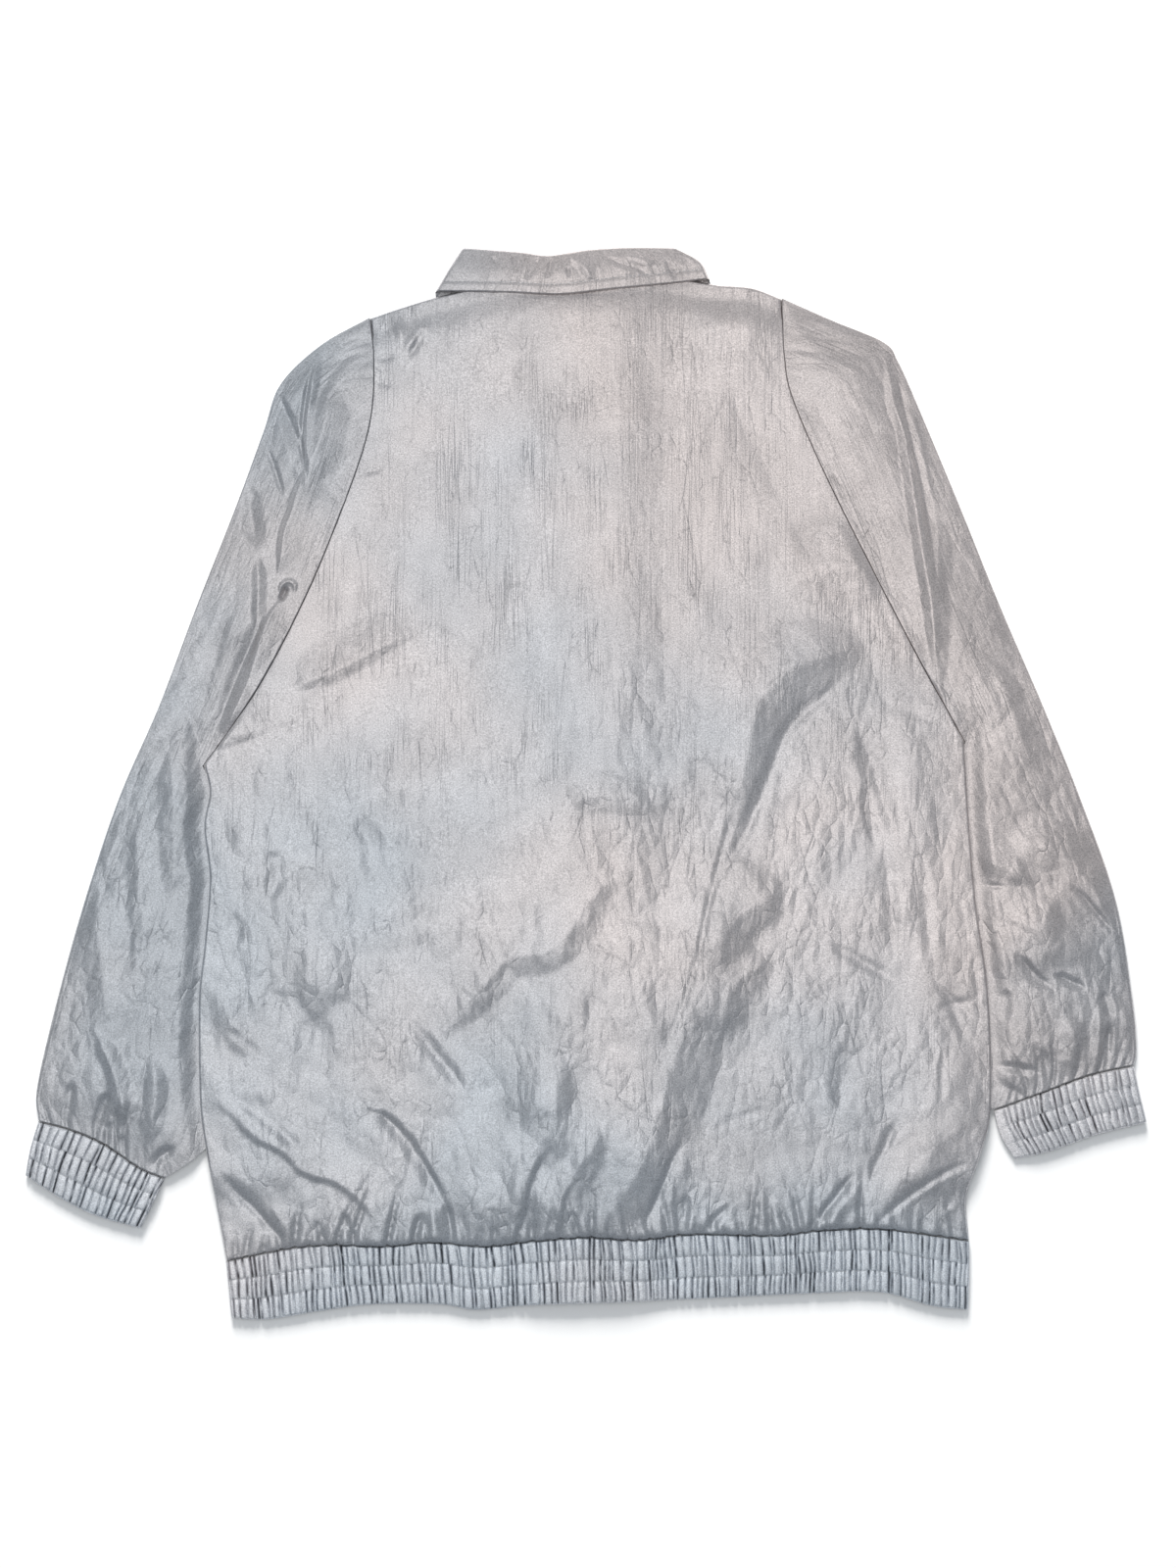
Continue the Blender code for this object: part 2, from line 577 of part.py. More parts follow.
def make_snaps(material):
    """Snap caps down the outer lap, each under the cloth it is set in."""
    for index in range(SNAP_COUNT):
        y = SNAP_TOP_Y - SNAP_STEP * index
        top = float(lay(np.array(0.0), np.array(y))) + PLACKET_LIFT - SEAM
        mesh = bmesh.new()
        bmesh.ops.create_cone(mesh, cap_ends=True, segments=14, radius1=SNAP_RADIUS * 0.8 * MM,
                              radius2=SNAP_RADIUS * MM, depth=SNAP_THICK * MM)
        bmesh.ops.translate(mesh, verts=mesh.verts[:], vec=(0, y * MM, (top - SNAP_THICK / 2) * MM))
        data = bpy.data.meshes.new("snap_%d" % (index + 1))
        mesh.to_mesh(data)
        mesh.free()
        data.materials.append(material)
        bpy.context.collection.objects.link(bpy.data.objects.new(data.name, data))


def main():
    for item in list(bpy.data.objects):
        bpy.data.objects.remove(item, do_unlink=True)
    nylon = finish("nylon", NYLON)
    rib = finish("elastic", RIB)
    metal = finish("snap_metal", METAL)
    make_back(nylon)
    make_front("front_left", -1, nylon)
    make_front("front_right", 1, nylon)
    make_sleeve("sleeve_left", LEFT_ARMHOLE[::-1], LEFT_OUTER, LEFT_INNER, LEFT_CUFF_SEAM,
                LEFT_SLEEVE_FOLDS, nylon)
    make_sleeve("sleeve_right", RIGHT_ARMHOLE[::-1], RIGHT_OUTER, RIGHT_INNER,
                RIGHT_CUFF_SEAM[::-1], RIGHT_SLEEVE_FOLDS, nylon)
    make_cuff("cuff_left", LEFT_CUFF_SEAM, LEFT_CUFF_HEM,
              spots((-403, -248), (-409, -268), (-412.5, -288)),
              spots((-310, -290), (-318, -307), (-328, -327)), rib)
    make_cuff("cuff_right", RIGHT_CUFF_SEAM[::-1], RIGHT_CUFF_HEM[::-1],
              spots((403, -207), (407, -226), (412.5, -249)),
              spots((300, -240), (305, -258), (316, -276)), rib)
    make_waistband(rib)
    make_collar(nylon)
    make_stand(nylon)
    make_snaps(metal)


main()
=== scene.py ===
from collections import namedtuple

import bmesh
import bpy
import numpy as np
from bpy.props import FloatProperty, FloatVectorProperty, PointerProperty
from mathutils import Matrix, Vector
from mathutils.bvhtree import BVHTree


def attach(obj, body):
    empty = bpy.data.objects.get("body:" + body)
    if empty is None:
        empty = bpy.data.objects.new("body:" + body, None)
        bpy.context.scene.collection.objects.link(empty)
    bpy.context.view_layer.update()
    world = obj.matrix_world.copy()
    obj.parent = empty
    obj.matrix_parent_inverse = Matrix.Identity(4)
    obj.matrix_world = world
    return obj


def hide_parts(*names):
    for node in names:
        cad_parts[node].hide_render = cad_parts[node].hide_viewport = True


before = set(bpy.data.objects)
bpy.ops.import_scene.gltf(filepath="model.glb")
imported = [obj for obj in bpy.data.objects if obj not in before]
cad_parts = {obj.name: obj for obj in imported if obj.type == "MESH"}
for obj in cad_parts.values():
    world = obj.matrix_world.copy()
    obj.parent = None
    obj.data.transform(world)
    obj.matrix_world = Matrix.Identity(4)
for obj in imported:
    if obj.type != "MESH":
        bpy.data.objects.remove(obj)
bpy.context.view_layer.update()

bl_info = {
    "name": "Snap-Front Jacket",
    "version": (1, 0, 0),
    "blender": (4, 5, 0),
    "location": "View3D > Sidebar > Jacket",
    "description": "Cloth, elastic, stitching and snaps of a snap-front jacket laid out flat, back up",
    "category": "Object",
}

MM = 0.001

# Stack of the cloth, in millimetres, as in the solids
WALL = 1.3
SEAM = 0.3
LAP_HALF = 18.0
LAP_EASE = 45.0
PLACKET_LIFT = 1.2
LAP_LIFT = 2.8
SLEEVE_STACK = 3.0
TUCK_LIFT = 3.3
TUCK_REACH = 36.0
TUCK_EASE = 40.0
TUCK_LOW_Y, TUCK_LOW_EASE = -312.0, 30.0
TUCK_TOP_Y, TUCK_TOP_EASE = 78.0, 44.0
LEAF_LIFT = 1.6
LEAF_REACH = 125.0
NECK_X, NECK_Y = 0.0, 375.0
NECK_FRONT_Y = 288.0
BODY_WIDTH = 540.0
BODY_LENGTH = 700.0
SNAP_TOP_Y = 262.0
SNAP_STEP = 103.0
SNAP_COUNT = 7
UNDERARM_SHARE = 0.5
SHOULDER_SHARE = 0.14
SLEEVE_UNDERARM = 0.55
SLEEVE_TIP = 0.001
SEAM_TURN = 3.0
LEFT_LAP_SHARE = 0.516
RIGHT_LAP_SHARE = 0.450
FRONT_SHOULDER = 5 / 13
FRONT_CELL = 6.0
FLOOR_GAP = 0.1
SHOULDER_NARROWING = 230.0

# Widths and depths of the smaller pieces, in millimetres
SLEEVE_LENGTH = 640.0
SLEEVE_WIDTH = 130.0
CUFF_DEEP = 40.0
LEFT_CUFF_WIDTH, LEFT_CUFF_PLAIN = 100.0, 0.0
RIGHT_CUFF_WIDTH, RIGHT_CUFF_PLAIN = 108.0, 20.0
BAND_WIDTH, BAND_DEEP = 547.0, 52.0
FALL_WIDTH, FALL_DEEP = 190.0, 33.0
COLLAR_CELL = 0.9
CHANNELS = 3
UNDER_COLUMNS = 40
LEAF_COLUMNS = 26

# Spacing of the pleats in millimetres, and cloth taken up by crinkles and gathers
BAND_PLEATS_FROM, BAND_PLEATS_SPAN = -285.0, 590.0
BAND_PLEAT_GAP = 10.5
CUFF_PLEAT_GAP = 9.0
CUFF_TAKE_UP = 1.35
BAND_TAKE_UP = 1.3

# How the cloth fills out from its edges, in millimetres
SIDE_EASE = 85.0
NECK_EASE = 140.0
FOLD_EASE = 22.0
BAND_ROLL, FOLD_ROLL = 6.0, 7.0
CALM_Y, CALM_EASE = 150.0, 200.0
ARMHOLE_RISE_Y, ARMHOLE_RISE_EASE = 24.0, 36.0
SLEEVE_EASE = 42.0
CUFF_EASE = 36.0
EDGE_COLUMN = 0.05

# Shares of a piece's depth where its stitches run
COLLAR_STITCH_ROW = 0.22
CHANNEL_STITCH_ROWS = (0.338, 0.669)

# Half profile of a snap cap: share of its radius, share of its thickness
SNAP_PROFILE = ((0.0, 0.25), (0.35, 0.22), (0.62, 0.14), (0.74, 0.06), (0.80, 0.05), (0.90, 0.0),
                (0.98, 0.12), (1.0, 0.45), (0.96, 0.8), (0.86, 1.0), (0.0, 1.0))
SNAP_SIDES = 32
FULL_TURN, QUARTER_TURN = 6.283185307, 1.5707963

# Starting numbers and table sizes of the random draws
BACK_SEED, BAND_PLEAT_SEED, COLLAR_SEED, BAND_SEED = 11, 41, 51, 71
LEFT_SLEEVE_SEED, RIGHT_SLEEVE_SEED = 21, 31
LEFT_CUFF_SEED, RIGHT_CUFF_SEED = 61, 66
NOISE_TABLE, FACET_TABLE = 256, 64

# Camera, lights and floor, in metres
CAMERA_PLACE = (0.00144, 0.0, 2.246)
CAMERA_LENS, CAMERA_SENSOR = 70, 36
KEY_PLACE, KEY_SIZE = (-0.34, 0.03, 2.9), (2.3, 2.2)
TOP_PLACE, TOP_SIZE = (-0.5, 3.9, 1.7), (1.6, 1.8)
LAMP_WHITE = (1.0, 0.985, 0.96)
FILL_TINT = (0.86, 0.93, 1.0, 1)
FLOOR_HALF, FLOOR_DROP = 6.0, 0.0003

Spot = namedtuple("Spot", "x y")
Crease = namedtuple("Crease", "rise left right crest path")


def spots(*rows):
    """Outline rows as named x and y."""
    return [Spot(*row) for row in rows]


def creases(*rows):
    """Crease rows: rise, reach on the left and right hand, roundness of the crest, path."""
    return [Crease(*row) for row in rows]


# Outlines in millimetres, each row an x and a y
LEFT_SIDE = spots((-265, -351), (-273, -307), (-279, -272), (-284, -235), (-285, -160),
                  (-281, -120), (-277, -70), (-281, -32), (-277, -6), (-281, 14))
LEFT_ARMHOLE = spots((-281, 14), (-243, 68), (-207, 136), (-176, 211), (-159, 265),
                     (-156, 310), (-159, 343))
RIGHT_SIDE = spots((282, -336), (280, -304), (289, -276), (297, -245), (298, -200),
                   (295, -145), (287, -89), (282, -30), (278, 32))
RIGHT_ARMHOLE = spots((278, 32), (249, 84), (215, 149), (177, 225), (152, 283),
                      (146, 313), (144, 357))
LEFT_SHOULDER = spots((-159, 343), (-138, 350), (-112, 358))
NECK = spots((-112, 358), (-60, 370), (0, 373), (60, 373), (98, 367))
RIGHT_SHOULDER = spots((98, 367), (122, 365), (144, 357))
FRONT_NECK_LEFT = spots((-112, 358), (-88, 326), (-46, 298),
                        (LAP_HALF, NECK_FRONT_Y))
FRONT_NECK_RIGHT = spots((-LAP_HALF, NECK_FRONT_Y), (40, 298), (78, 328), (98, 367))
BAND_SEAM = spots((-265, -351), (-215, -341), (-185, -339), (-148, -340), (-113, -337),
                  (-75, -340), (-40, -336), (0, -333), (39, -335), (80, -331),
                  (138, -332), (175, -328), (215, -327), (248, -331), (282, -336))
BAND_HEM = spots((-261, -393), (-235, -394), (-197, -388), (-158, -383), (-107, -383),
                 (-80, -387), (-35, -383), (55, -380), (163, -375), (216, -374),
                 (254, -384), (281, -387))
LEFT_OUTER = spots((-159, 343), (-195, 323), (-225, 294), (-238, 258), (-259, 201),
                   (-287, 130), (-314, 58), (-344, -11), (-369, -86), (-389, -158),
                   (-404, -223), (-403, -248))
LEFT_INNER = spots((-282, 13), (-274, -4), (-266, -36), (-259, -80), (-253, -140),
                   (-253, -200), (-262, -245), (-283, -271), (-310, -290))
LEFT_CUFF_SEAM = spots((-403, -248), (-377, -255), (-354, -265), (-329, -282), (-310, -290))
LEFT_CUFF_HEM = spots((-412.5, -288), (-388, -304), (-362, -317), (-328, -327))
RIGHT_OUTER = spots((144, 357), (181, 341), (219, 325), (230, 310), (246, 274),
                    (276, 202), (305, 130), (336, 58), (365, -14), (390, -86),
                    (402, -158), (405, -194), (403, -207))
RIGHT_INNER = spots((279, 31), (273, 8), (267, -30), (264, -80), (266, -140),
                    (272, -190), (284, -222), (300, -240))
RIGHT_CUFF_SEAM = spots((300, -240), (335, -227), (370, -214), (403, -207))
RIGHT_CUFF_HEM = spots((316, -276), (342, -270), (376, -258), (412.5, -249))
COLLAR_EDGE = spots((-111, 362), (-58, 361), (-20, 359), (20, 363), (66, 368), (91, 371))
COLLAR_ROLL = spots((-91, 394.2), (-50, 391), (-27, 388), (0, 392), (36, 394), (66, 394))
LEAF_EDGE_LEFT = spots((-111, 362), (-106, 325), (-82, 287), (-42, 262))
LEAF_ROLL_LEFT = spots((-91, 394.2), (-84, 350), (-52, 314), (-4, 299))
LEAF_EDGE_RIGHT = spots((91, 371), (95, 330), (76, 287), (42, 262))
LEAF_ROLL_RIGHT = spots((66, 394), (76, 350), (48, 314), (4, 299))

# Creases in millimetres: rise, reach left, reach right, roundness, path of x and y
BACK_CREASES = creases(
    (4.6, 27, 36, 0.05, ((214, 104), (178, 95), (151, 86), (133, 70), (121, 44), (116, 14),
                         (108, -14), (97, -38))),
    (-1.7, 6, 8, 0.09, ((200, 86), (175, 64), (152, 44), (142, 27), (133, 4), (118, -34),
                        (100, -65), (90, -92))),
    (-1.4, 3, 4, 0.06, ((115, 7), (105, -32), (91, -84), (82, -128), (69, -167), (50, -217))),
    (5.4, 32, 85, 0.02, ((112, -62), (101, -90), (93, -121), (84, -142), (74, -171), (64, -206),
                        (54, -243), (43, -275), (26, -302), (10, -328), (2, -350))),
    (3.6, 22, 48, 0.02, ((150, -72), (131, -84), (112, -97), (101, -112), (97, -140))),
    (2.8, 18, 28, 0.04, ((142, -126), (122, -136), (106, -156), (98, -190))),
    (3.2, 17, 30, 0.03, ((36, -66), (29, -68), (13, -74), (1, -86), (-7, -100), (-17, -114),
                         (-33, -123), (-56, -128), (-74, -146), (-99, -177), (-112, -190))),
    (2.8, 30, 44, 0.02, ((22, -100), (14, -118), (6, -134), (-8, -157), (-19, -181), (-28, -204),
                         (-38, -235), (-46, -268))),
    (1.6, 18, 14, 0.06, ((58, -196), (44, -168), (27, -153), (12, -160))),
    (4.8, 21, 60, 0.02, ((-8, -196), (-19, -212), (-22, -236), (-28, -256), (-44, -274),
                         (-50, -300), (-53, -328), (-54, -352))),
    (-2.0, 12, 3, 0.04, ((-26, -262), (-40, -294), (-44, -314), (-46, -344))),
    (3.4, 15, 40, 0.02, ((20, -250), (13, -256), (4, -266), (-8, -284), (-17, -305), (-20, -340))),
    (-2.0, 10, 3, 0.04, ((-10, -290), (-16, -312), (-20, -344))),
    (-2.2, 10, 3, 0.04, ((72, -254), (69, -261), (57, -291), (45, -318), (38, -332))),
    (1.4, 16, 4, 0.06, ((74, -262), (62, -292), (50, -320))),
    (-2.0, 7, 7, 0.06, ((-134, -168), (-128, -176), (-114, -194), (-99, -212), (-85, -230))),
    (-2.7, 3.5, 9, 0.05, ((-172, -238), (-150, -243), (-135, -256), (-125, -270), (-114, -288),
                          (-106, -303), (-100, -318))),
    (2.0, 26, 3.5, 0.04, ((-283, -228), (-265, -238), (-243, -259), (-222, -270), (-207, -285),
                          (-182, -293), (-164, -308), (-153, -324), (-146, -342))),
    (-1.6, 12, 5, 0.06, ((-262, -226), (-240, -244), (-222, -258), (-206, -272))),
    (-2.0, 3, 5, 0.05, ((-282, -270), (-276, -277), (-261, -295), (-243, -313), (-229, -329),
                        (-214, -344))),
    (1.4, 12, 8, 0.07, ((-266, -280), (-246, -298), (-228, -316), (-210, -338))),
    (-1.1, 4, 4, 0.06, ((-264, -178), (-252, -188), (-238, -200))),
    (-2.3, 3, 4, 0.05, ((-180, -312), (-174, -326), (-168, -344))),
    (-2.0, 3, 3, 0.05, ((-198, -318), (-193, -344))),
    (-2.6, 3, 4, 0.05, ((-120, -312), (-123, -326), (-125, -346))),
    (-2.9, 3, 4, 0.05, ((-104, -304), (-100, -322), (-97, -346))),
    (2.0, 6, 6, 0.06, ((-113, -306), (-112, -324), (-111, -344))),
    (-1.6, 7, 7, 0.12, ((-270, -26), (-262, -52))),
    (-1.5, 8, 8, 0.12, ((-239, -48), (-227, -60), (-232, -88))),
    (-1.4, 7, 7, 0.12, ((-260, -92), (-255, -120))),
    (-1.5, 9, 9, 0.12, ((-170, -17), (-160, -40), (-158, -76))),
    (-1.4, 10, 9, 0.12, ((-128, -48), (-123, -89), (-113, -138))),
    (1.9, 12, 14, 0.09, ((-280, -142), (-262, -172), (-240, -202))),
    (-1.6, 16, 16, 0.18, ((-192, -165), (-200, -196), (-205, -230))),
    (4.0, 34, 30, 0.07, ((-208, -52), (-205, -84), (-203, -140), (-210, -180))),
    (2.2, 9, 26, 0.04, ((-118, 114), (-140, 106), (-160, 96), (-185, 83), (-205, 75), (-222, 65))),
    (0.6, 6, 9, 0.06, ((-130, 122), (-92, 103), (-83, 93), (-95, 79))),
    (1.2, 5, 5, 0.09, ((-113, 341), (-135, 317))),
    (-1.2, 4, 4, 0.09, ((-117, 338), (-131, 311))),
    (1.3, 5, 5, 0.09, ((-141, 352), (-135, 324))),
    (-1.1, 3, 3, 0.12, ((-159, 312), (-138, 315))),
    (-1.1, 3, 3, 0.12, ((-159, 297), (-140, 293))),
    (-0.9, 3, 3, 0.12, ((-169, 228), (-148, 232))),
    (-1.8, 9, 11, 0.09, ((198, 46), (211, 12), (230, -46))),
    (-1.4, 6, 6, 0.12, ((204, 3), (213, -48))),
    (-1.4, 8, 9, 0.12, ((220, -40), (227, -134))),
    (-1.2, 8, 8, 0.12, ((245, -46), (252, -134))),
    (-1.4, 6, 6, 0.12, ((175, -115), (231, -147))),
    (-0.4, 4, 5, 0.12, ((84, -258), (116, -243), (145, -236))),
    (-1.4, 9, 9, 0.12, ((191, -184), (186, -246))),
    (-1.1, 4, 4, 0.09, ((252, -142), (290, -178))),
    (-1.1, 4, 4, 0.09, ((256, -166), (288, -157))),
    (-1.1, 4, 4, 0.09, ((262, -148), (281, -193))),
    (1.4, 26, 18, 0.03, ((302, -218), (289, -230), (275, -252), (261, -263), (250, -274), (232, -292),
                         (217, -313), (205, -334))),
    (-1.5, 3, 5, 0.05, ((297, -275), (275, -281), (260, -288), (239, -302), (217, -321), (208, -338))),
    (-1.3, 3, 3, 0.06, ((284, -278), (270, -302), (261, -320))),
    (1.5, 3, 3, 0.06, ((260, -319), (271, -310), (282, -302))),
    (1.6, 30, 26, 0.05, ((296, -190), (270, -214), (246, -244), (222, -270))),
    (-1.9, 3, 5, 0.05, ((200, -282), (186, -301), (171, -320), (157, -338))),
    (1.6, 8, 6, 0.06, ((206, -287), (190, -308), (170, -334))),
    (-1.6, 4, 6, 0.06, ((232, -240), (217, -273), (206, -297))),
    (-1.2, 3, 3, 0.06, ((261, -192), (261, -236))),
    (-2.0, 4, 5, 0.06, ((74, -298), (71, -338))),
    (-2.0, 5, 5, 0.06, ((107, -307), (89, -328), (84, -340))),
    (2.0, 14, 20, 0.07, ((66, -30), (45, -14), (20, -8), (0, -9), (-22, -17))),
    (3.8, 32, 40, 0.06, ((238, 152), (205, 159), (170, 156), (138, 138))),
    (1.4, 16, 20, 0.12, ((140, 330), (105, 336), (70, 330))),
)
LEFT_SLEEVE_CREASES = creases(
    (2.1, 6, 30, 0.04, ((-194, 326), (-198, 308), (-202, 293), (-204, 279), (-206, 265), (-206, 252),
                        (-206, 238), (-208, 222))),
    (2.6, 18, 12, 0.04, ((-187, 296), (-190, 275), (-193, 259), (-198, 245), (-206, 230), (-212, 214))),
    (-2.0, 3, 3, 0.05, ((-199, 312), (-203, 298), (-206, 281), (-208, 262), (-208, 242), (-206, 226))),
    (-0.8, 5, 6, 0.06, ((-160, 322), (-179, 310), (-186, 302), (-192, 292), (-197, 278), (-200, 262))),
    (3.2, 34, 4, 0.04, ((-204, 236), (-212, 214), (-216, 200), (-221, 187), (-224, 167), (-227, 148))),
    (3.0, 30, 4, 0.05, ((-219, 146), (-227, 131), (-233, 121), (-238, 108), (-243, 92), (-248, 76),
                        (-256, 58), (-265, 40), (-272, 25), (-280, 12))),
    (-3.4, 5, 14, 0.06, ((-236, 128), (-242, 112), (-252, 90), (-261, 68), (-270, 45), (-279, 22))),
    (-1.9, 7, 5, 0.06, ((-241, 170), (-241, 151), (-241, 133), (-242, 112))),
    (-2.6, 4, 9, 0.05, ((-233, 300), (-229, 292), (-222, 277), (-215, 262), (-210, 248), (-206, 230),
                        (-206, 214))),
    (-1.2, 3, 3, 0.06, ((-236, 250), (-228, 230), (-222, 208))),
    (-2.2, 9, 9, 0.08, ((-252, 226), (-246, 198), (-241, 170))),
    (1.6, 2.2, 2.2, 0.10, ((-225, 138), (-224, 145), (-219, 149), (-214, 146), (-214, 138))),
    (-3.0, 2.6, 2.6, 0.08, ((-219, 146), (-222, 140), (-225, 133))),
    (-1.7, 12, 16, 0.10, ((-262, 128), (-272, 92), (-284, 50), (-292, 8))),
    (1.9, 18, 20, 0.09, ((-328, -10), (-331, -60), (-331, -110), (-330, -150))),
    (-1.6, 12, 12, 0.12, ((-340, -25), (-338, -80), (-334, -146))),
    (1.9, 12, 14, 0.09, ((-360, -60), (-358, -110), (-352, -178))),
    (2.0, 14, 12, 0.09, ((-306, 30), (-302, -30), (-304, -90))),
    (3.0, 10, 7, 0.05, ((-362, -178), (-349, -205), (-343, -225), (-341, -254))),
    (-2.7, 5, 6, 0.05, ((-350, -222), (-356, -244), (-361, -262))),
    (-2.0, 4, 4, 0.06, ((-349, -246), (-354, -270))),
    (-2.0, 4, 4, 0.06, ((-341, -256), (-341, -278))),
    (-2.7, 5, 6, 0.05, ((-300, -266), (-312, -274), (-325, -286))),
    (2.5, 10, 10, 0.07, ((-318, -196), (-316, -230), (-322, -268))),
    (-2.0, 5, 5, 0.07, ((-378, -214), (-380, -240), (-386, -258))),
)
RIGHT_SLEEVE_CREASES = creases(
    (3.3, 14, 7, 0.04, ((214, 332), (221, 312), (226, 279), (234, 260), (238, 229), (247, 168),
                        (253, 134), (258, 81), (264, 50))),
    (-2.3, 6, 5, 0.06, ((228, 318), (233, 279), (242, 240), (252, 190), (258, 140))),
    (-2.7, 6, 5, 0.06, ((226, 108), (242, 85), (256, 64), (266, 46))),
    (2.6, 24, 12, 0.04, ((262, -48), (276, -52), (292, -56), (310, -62), (332, -74))),
    (-1.3, 3, 3, 0.06, ((270, -70), (290, -74), (312, -76))),
    (2.8, 20, 17, 0.03, ((306, -28), (316, -36), (329, -45), (351, -52), (365, -68), (383, -94),
                         (394, -118))),
    (-1.4, 3, 3, 0.06, ((352, -72), (366, -84), (378, -98), (391, -114))),
    (1.9, 15, 20, 0.04, ((347, -74), (343, -84), (335, -104), (338, -122), (350, -138))),
    (-2.1, 4, 8, 0.06, ((314, -122), (330, -140), (345, -152))),
    (-2.2, 5, 5, 0.06, ((342, -139), (369, -151))),
    (-2.2, 5, 5, 0.07, ((379, -150), (387, -176))),
    (-2.0, 6, 6, 0.09, ((308, -148), (308, -176))),
    (-2.2, 5, 6, 0.06, ((336, -192), (340, -226))),
    (-3.2, 4, 5, 0.04, ((385, -172), (382, -216))),
    (2.7, 8, 6, 0.05, ((376, -160), (377, -186), (374, -216))),
    (-2.3, 5, 6, 0.06, ((296, -217), (326, -232))),
    (-2.2, 5, 5, 0.06, ((296, -206), (336, -212))),
    (1.4, 16, 15, 0.07, ((298, -96), (330, -106), (352, -120), (376, -130))),
    (2.2, 10, 10, 0.07, ((352, -166), (358, -190), (352, -218))),
    (1.6, 12, 22, 0.09, ((300, 90), (318, 40), (330, 0))),
)
COLLAR_CREASES = creases(
    (1.5, 7, 5, 0.06, ((-18, 390), (-6, 383), (0, 377), (6, 368))),
    (-1.3, 3, 4, 0.06, ((-34, 388), (-37, 380), (-41, 375), (-45, 368))),
    (-1.0, 2, 3, 0.08, ((-53, 390), (-52, 383), (-49, 376))),
    (-1.2, 3, 3, 0.06, ((-25, 385), (-27, 377), (-30, 370))),
    (-1.3, 4, 3, 0.06, ((14, 387), (26, 381), (38, 378), (50, 371))),
    (1.2, 5, 4, 0.08, ((24, 389), (40, 385), (54, 380))),
    (-1.1, 3, 3, 0.08, ((58, 386), (62, 378), (67, 369))),
    (-0.9, 2, 2, 0.08, ((-70, 388), (-64, 380))),
    (-0.9, 2, 2, 0.08, ((-14, 380), (-12, 371))),
)


def settings(name):
    """One of the jacket's property groups."""
    return getattr(bpy.context.scene, name)


def smooth(value):
    """Soft step from 0 to 1."""
    value = np.clip(value, 0.0, 1.0)
    return value * value * (3.0 - 2.0 * value)


def roll(value):
    """Quarter-round rise from 0 to 1."""
    return np.sqrt(1.0 - (1.0 - np.clip(value, 0.0, 1.0)) ** 2)


def run_of(line):
    """Distance from the first point of a line to each of its points."""
    return np.concatenate([[0.0], np.cumsum(np.linalg.norm(np.diff(line, axis=0), axis=1))])


def curve(rows, per_span=12):
    """Smooth curve through the rows, as a function of the share of its length."""
    points = np.array(rows, dtype=float)
    padded = np.vstack([2 * points[0] - points[1], points, 2 * points[-1] - points[-2]])
    pieces = []
    step = np.arange(per_span)[:, None] / per_span
    for index in range(len(points) - 1):
        before, start, end, after = padded[index:index + 4]
        slope_in = 0.5 * (end - before)
        slope_out = 0.5 * (after - start)
        pieces.append((2 * step ** 3 - 3 * step ** 2 + 1) * start
                      + (step ** 3 - 2 * step ** 2 + step) * slope_in
                      + (3 * step ** 2 - 2 * step ** 3) * end
                      + (step ** 3 - step ** 2) * slope_out)
    line = np.vstack(pieces + [points[-1:]])
    length = run_of(line)
    length /= length[-1]

    def at(share):
        return np.stack([np.interp(share, length, line[:, 0]),
                         np.interp(share, length, line[:, 1])], axis=-1)
    return at


def joined(first, second, share):
    """Two curves end to end, meeting at the given share."""
    def at(value):
        value = np.asarray(value, dtype=float)
        low = first(np.clip(value / share, 0, 1))
        high = second(np.clip((value - share) / (1 - share), 0, 1))
        return np.where((value < share)[..., None], low, high)
    return at


def patch(bottom, top, left, right):
    """Plan position inside four boundary curves."""
    def at(across, up):
        s = np.asarray(across, dtype=float)[..., None]
        t = np.asarray(up, dtype=float)[..., None]
        sides = (1 - s) * left(up) + s * right(up)
        ends = (1 - t) * bottom(across) + t * top(across)
        corners = ((1 - s) * (1 - t) * bottom(0.0) + s * (1 - t) * bottom(1.0)
                   + (1 - s) * t * top(0.0) + s * t * top(1.0))
        return sides + ends - corners
    return at


def noise(u, v, width, length, seed):
    """Smooth random value from -1 to 1, with its own spacing across and along."""
    table = np.random.default_rng(seed).uniform(-1, 1, (NOISE_TABLE, NOISE_TABLE))
    a, b = u / width, v / length
    i, j = np.floor(a).astype(int), np.floor(b).astype(int)
    s, t = smooth(a - i), smooth(b - j)
    i, j = i % (NOISE_TABLE - 1), j % (NOISE_TABLE - 1)
    low = (1 - s) * table[i, j] + s * table[i + 1, j]
    high = (1 - s) * table[i, j + 1] + s * table[i + 1, j + 1]
    return (1 - t) * low + t * high


def facets(u, v, width, length, seed):
    """Flat-sided facets between straight creases, 0 on a crease and near 1 in the middle."""
    table = np.random.default_rng(seed).uniform(0, 1, (FACET_TABLE, FACET_TABLE, 2))
    a, b = u / width, v / length
    i, j = np.floor(a).astype(int), np.floor(b).astype(int)
    gaps = []
    for right in (-1, 0, 1):
        for up in (-1, 0, 1):
            spot = table[(i + right) % FACET_TABLE, (j + up) % FACET_TABLE]
            gaps.append(np.hypot(i + right + spot[..., 0] - a, j + up + spot[..., 1] - b))
    gaps = np.sort(np.stack(gaps), axis=0)
    return gaps[1] - gaps[0]


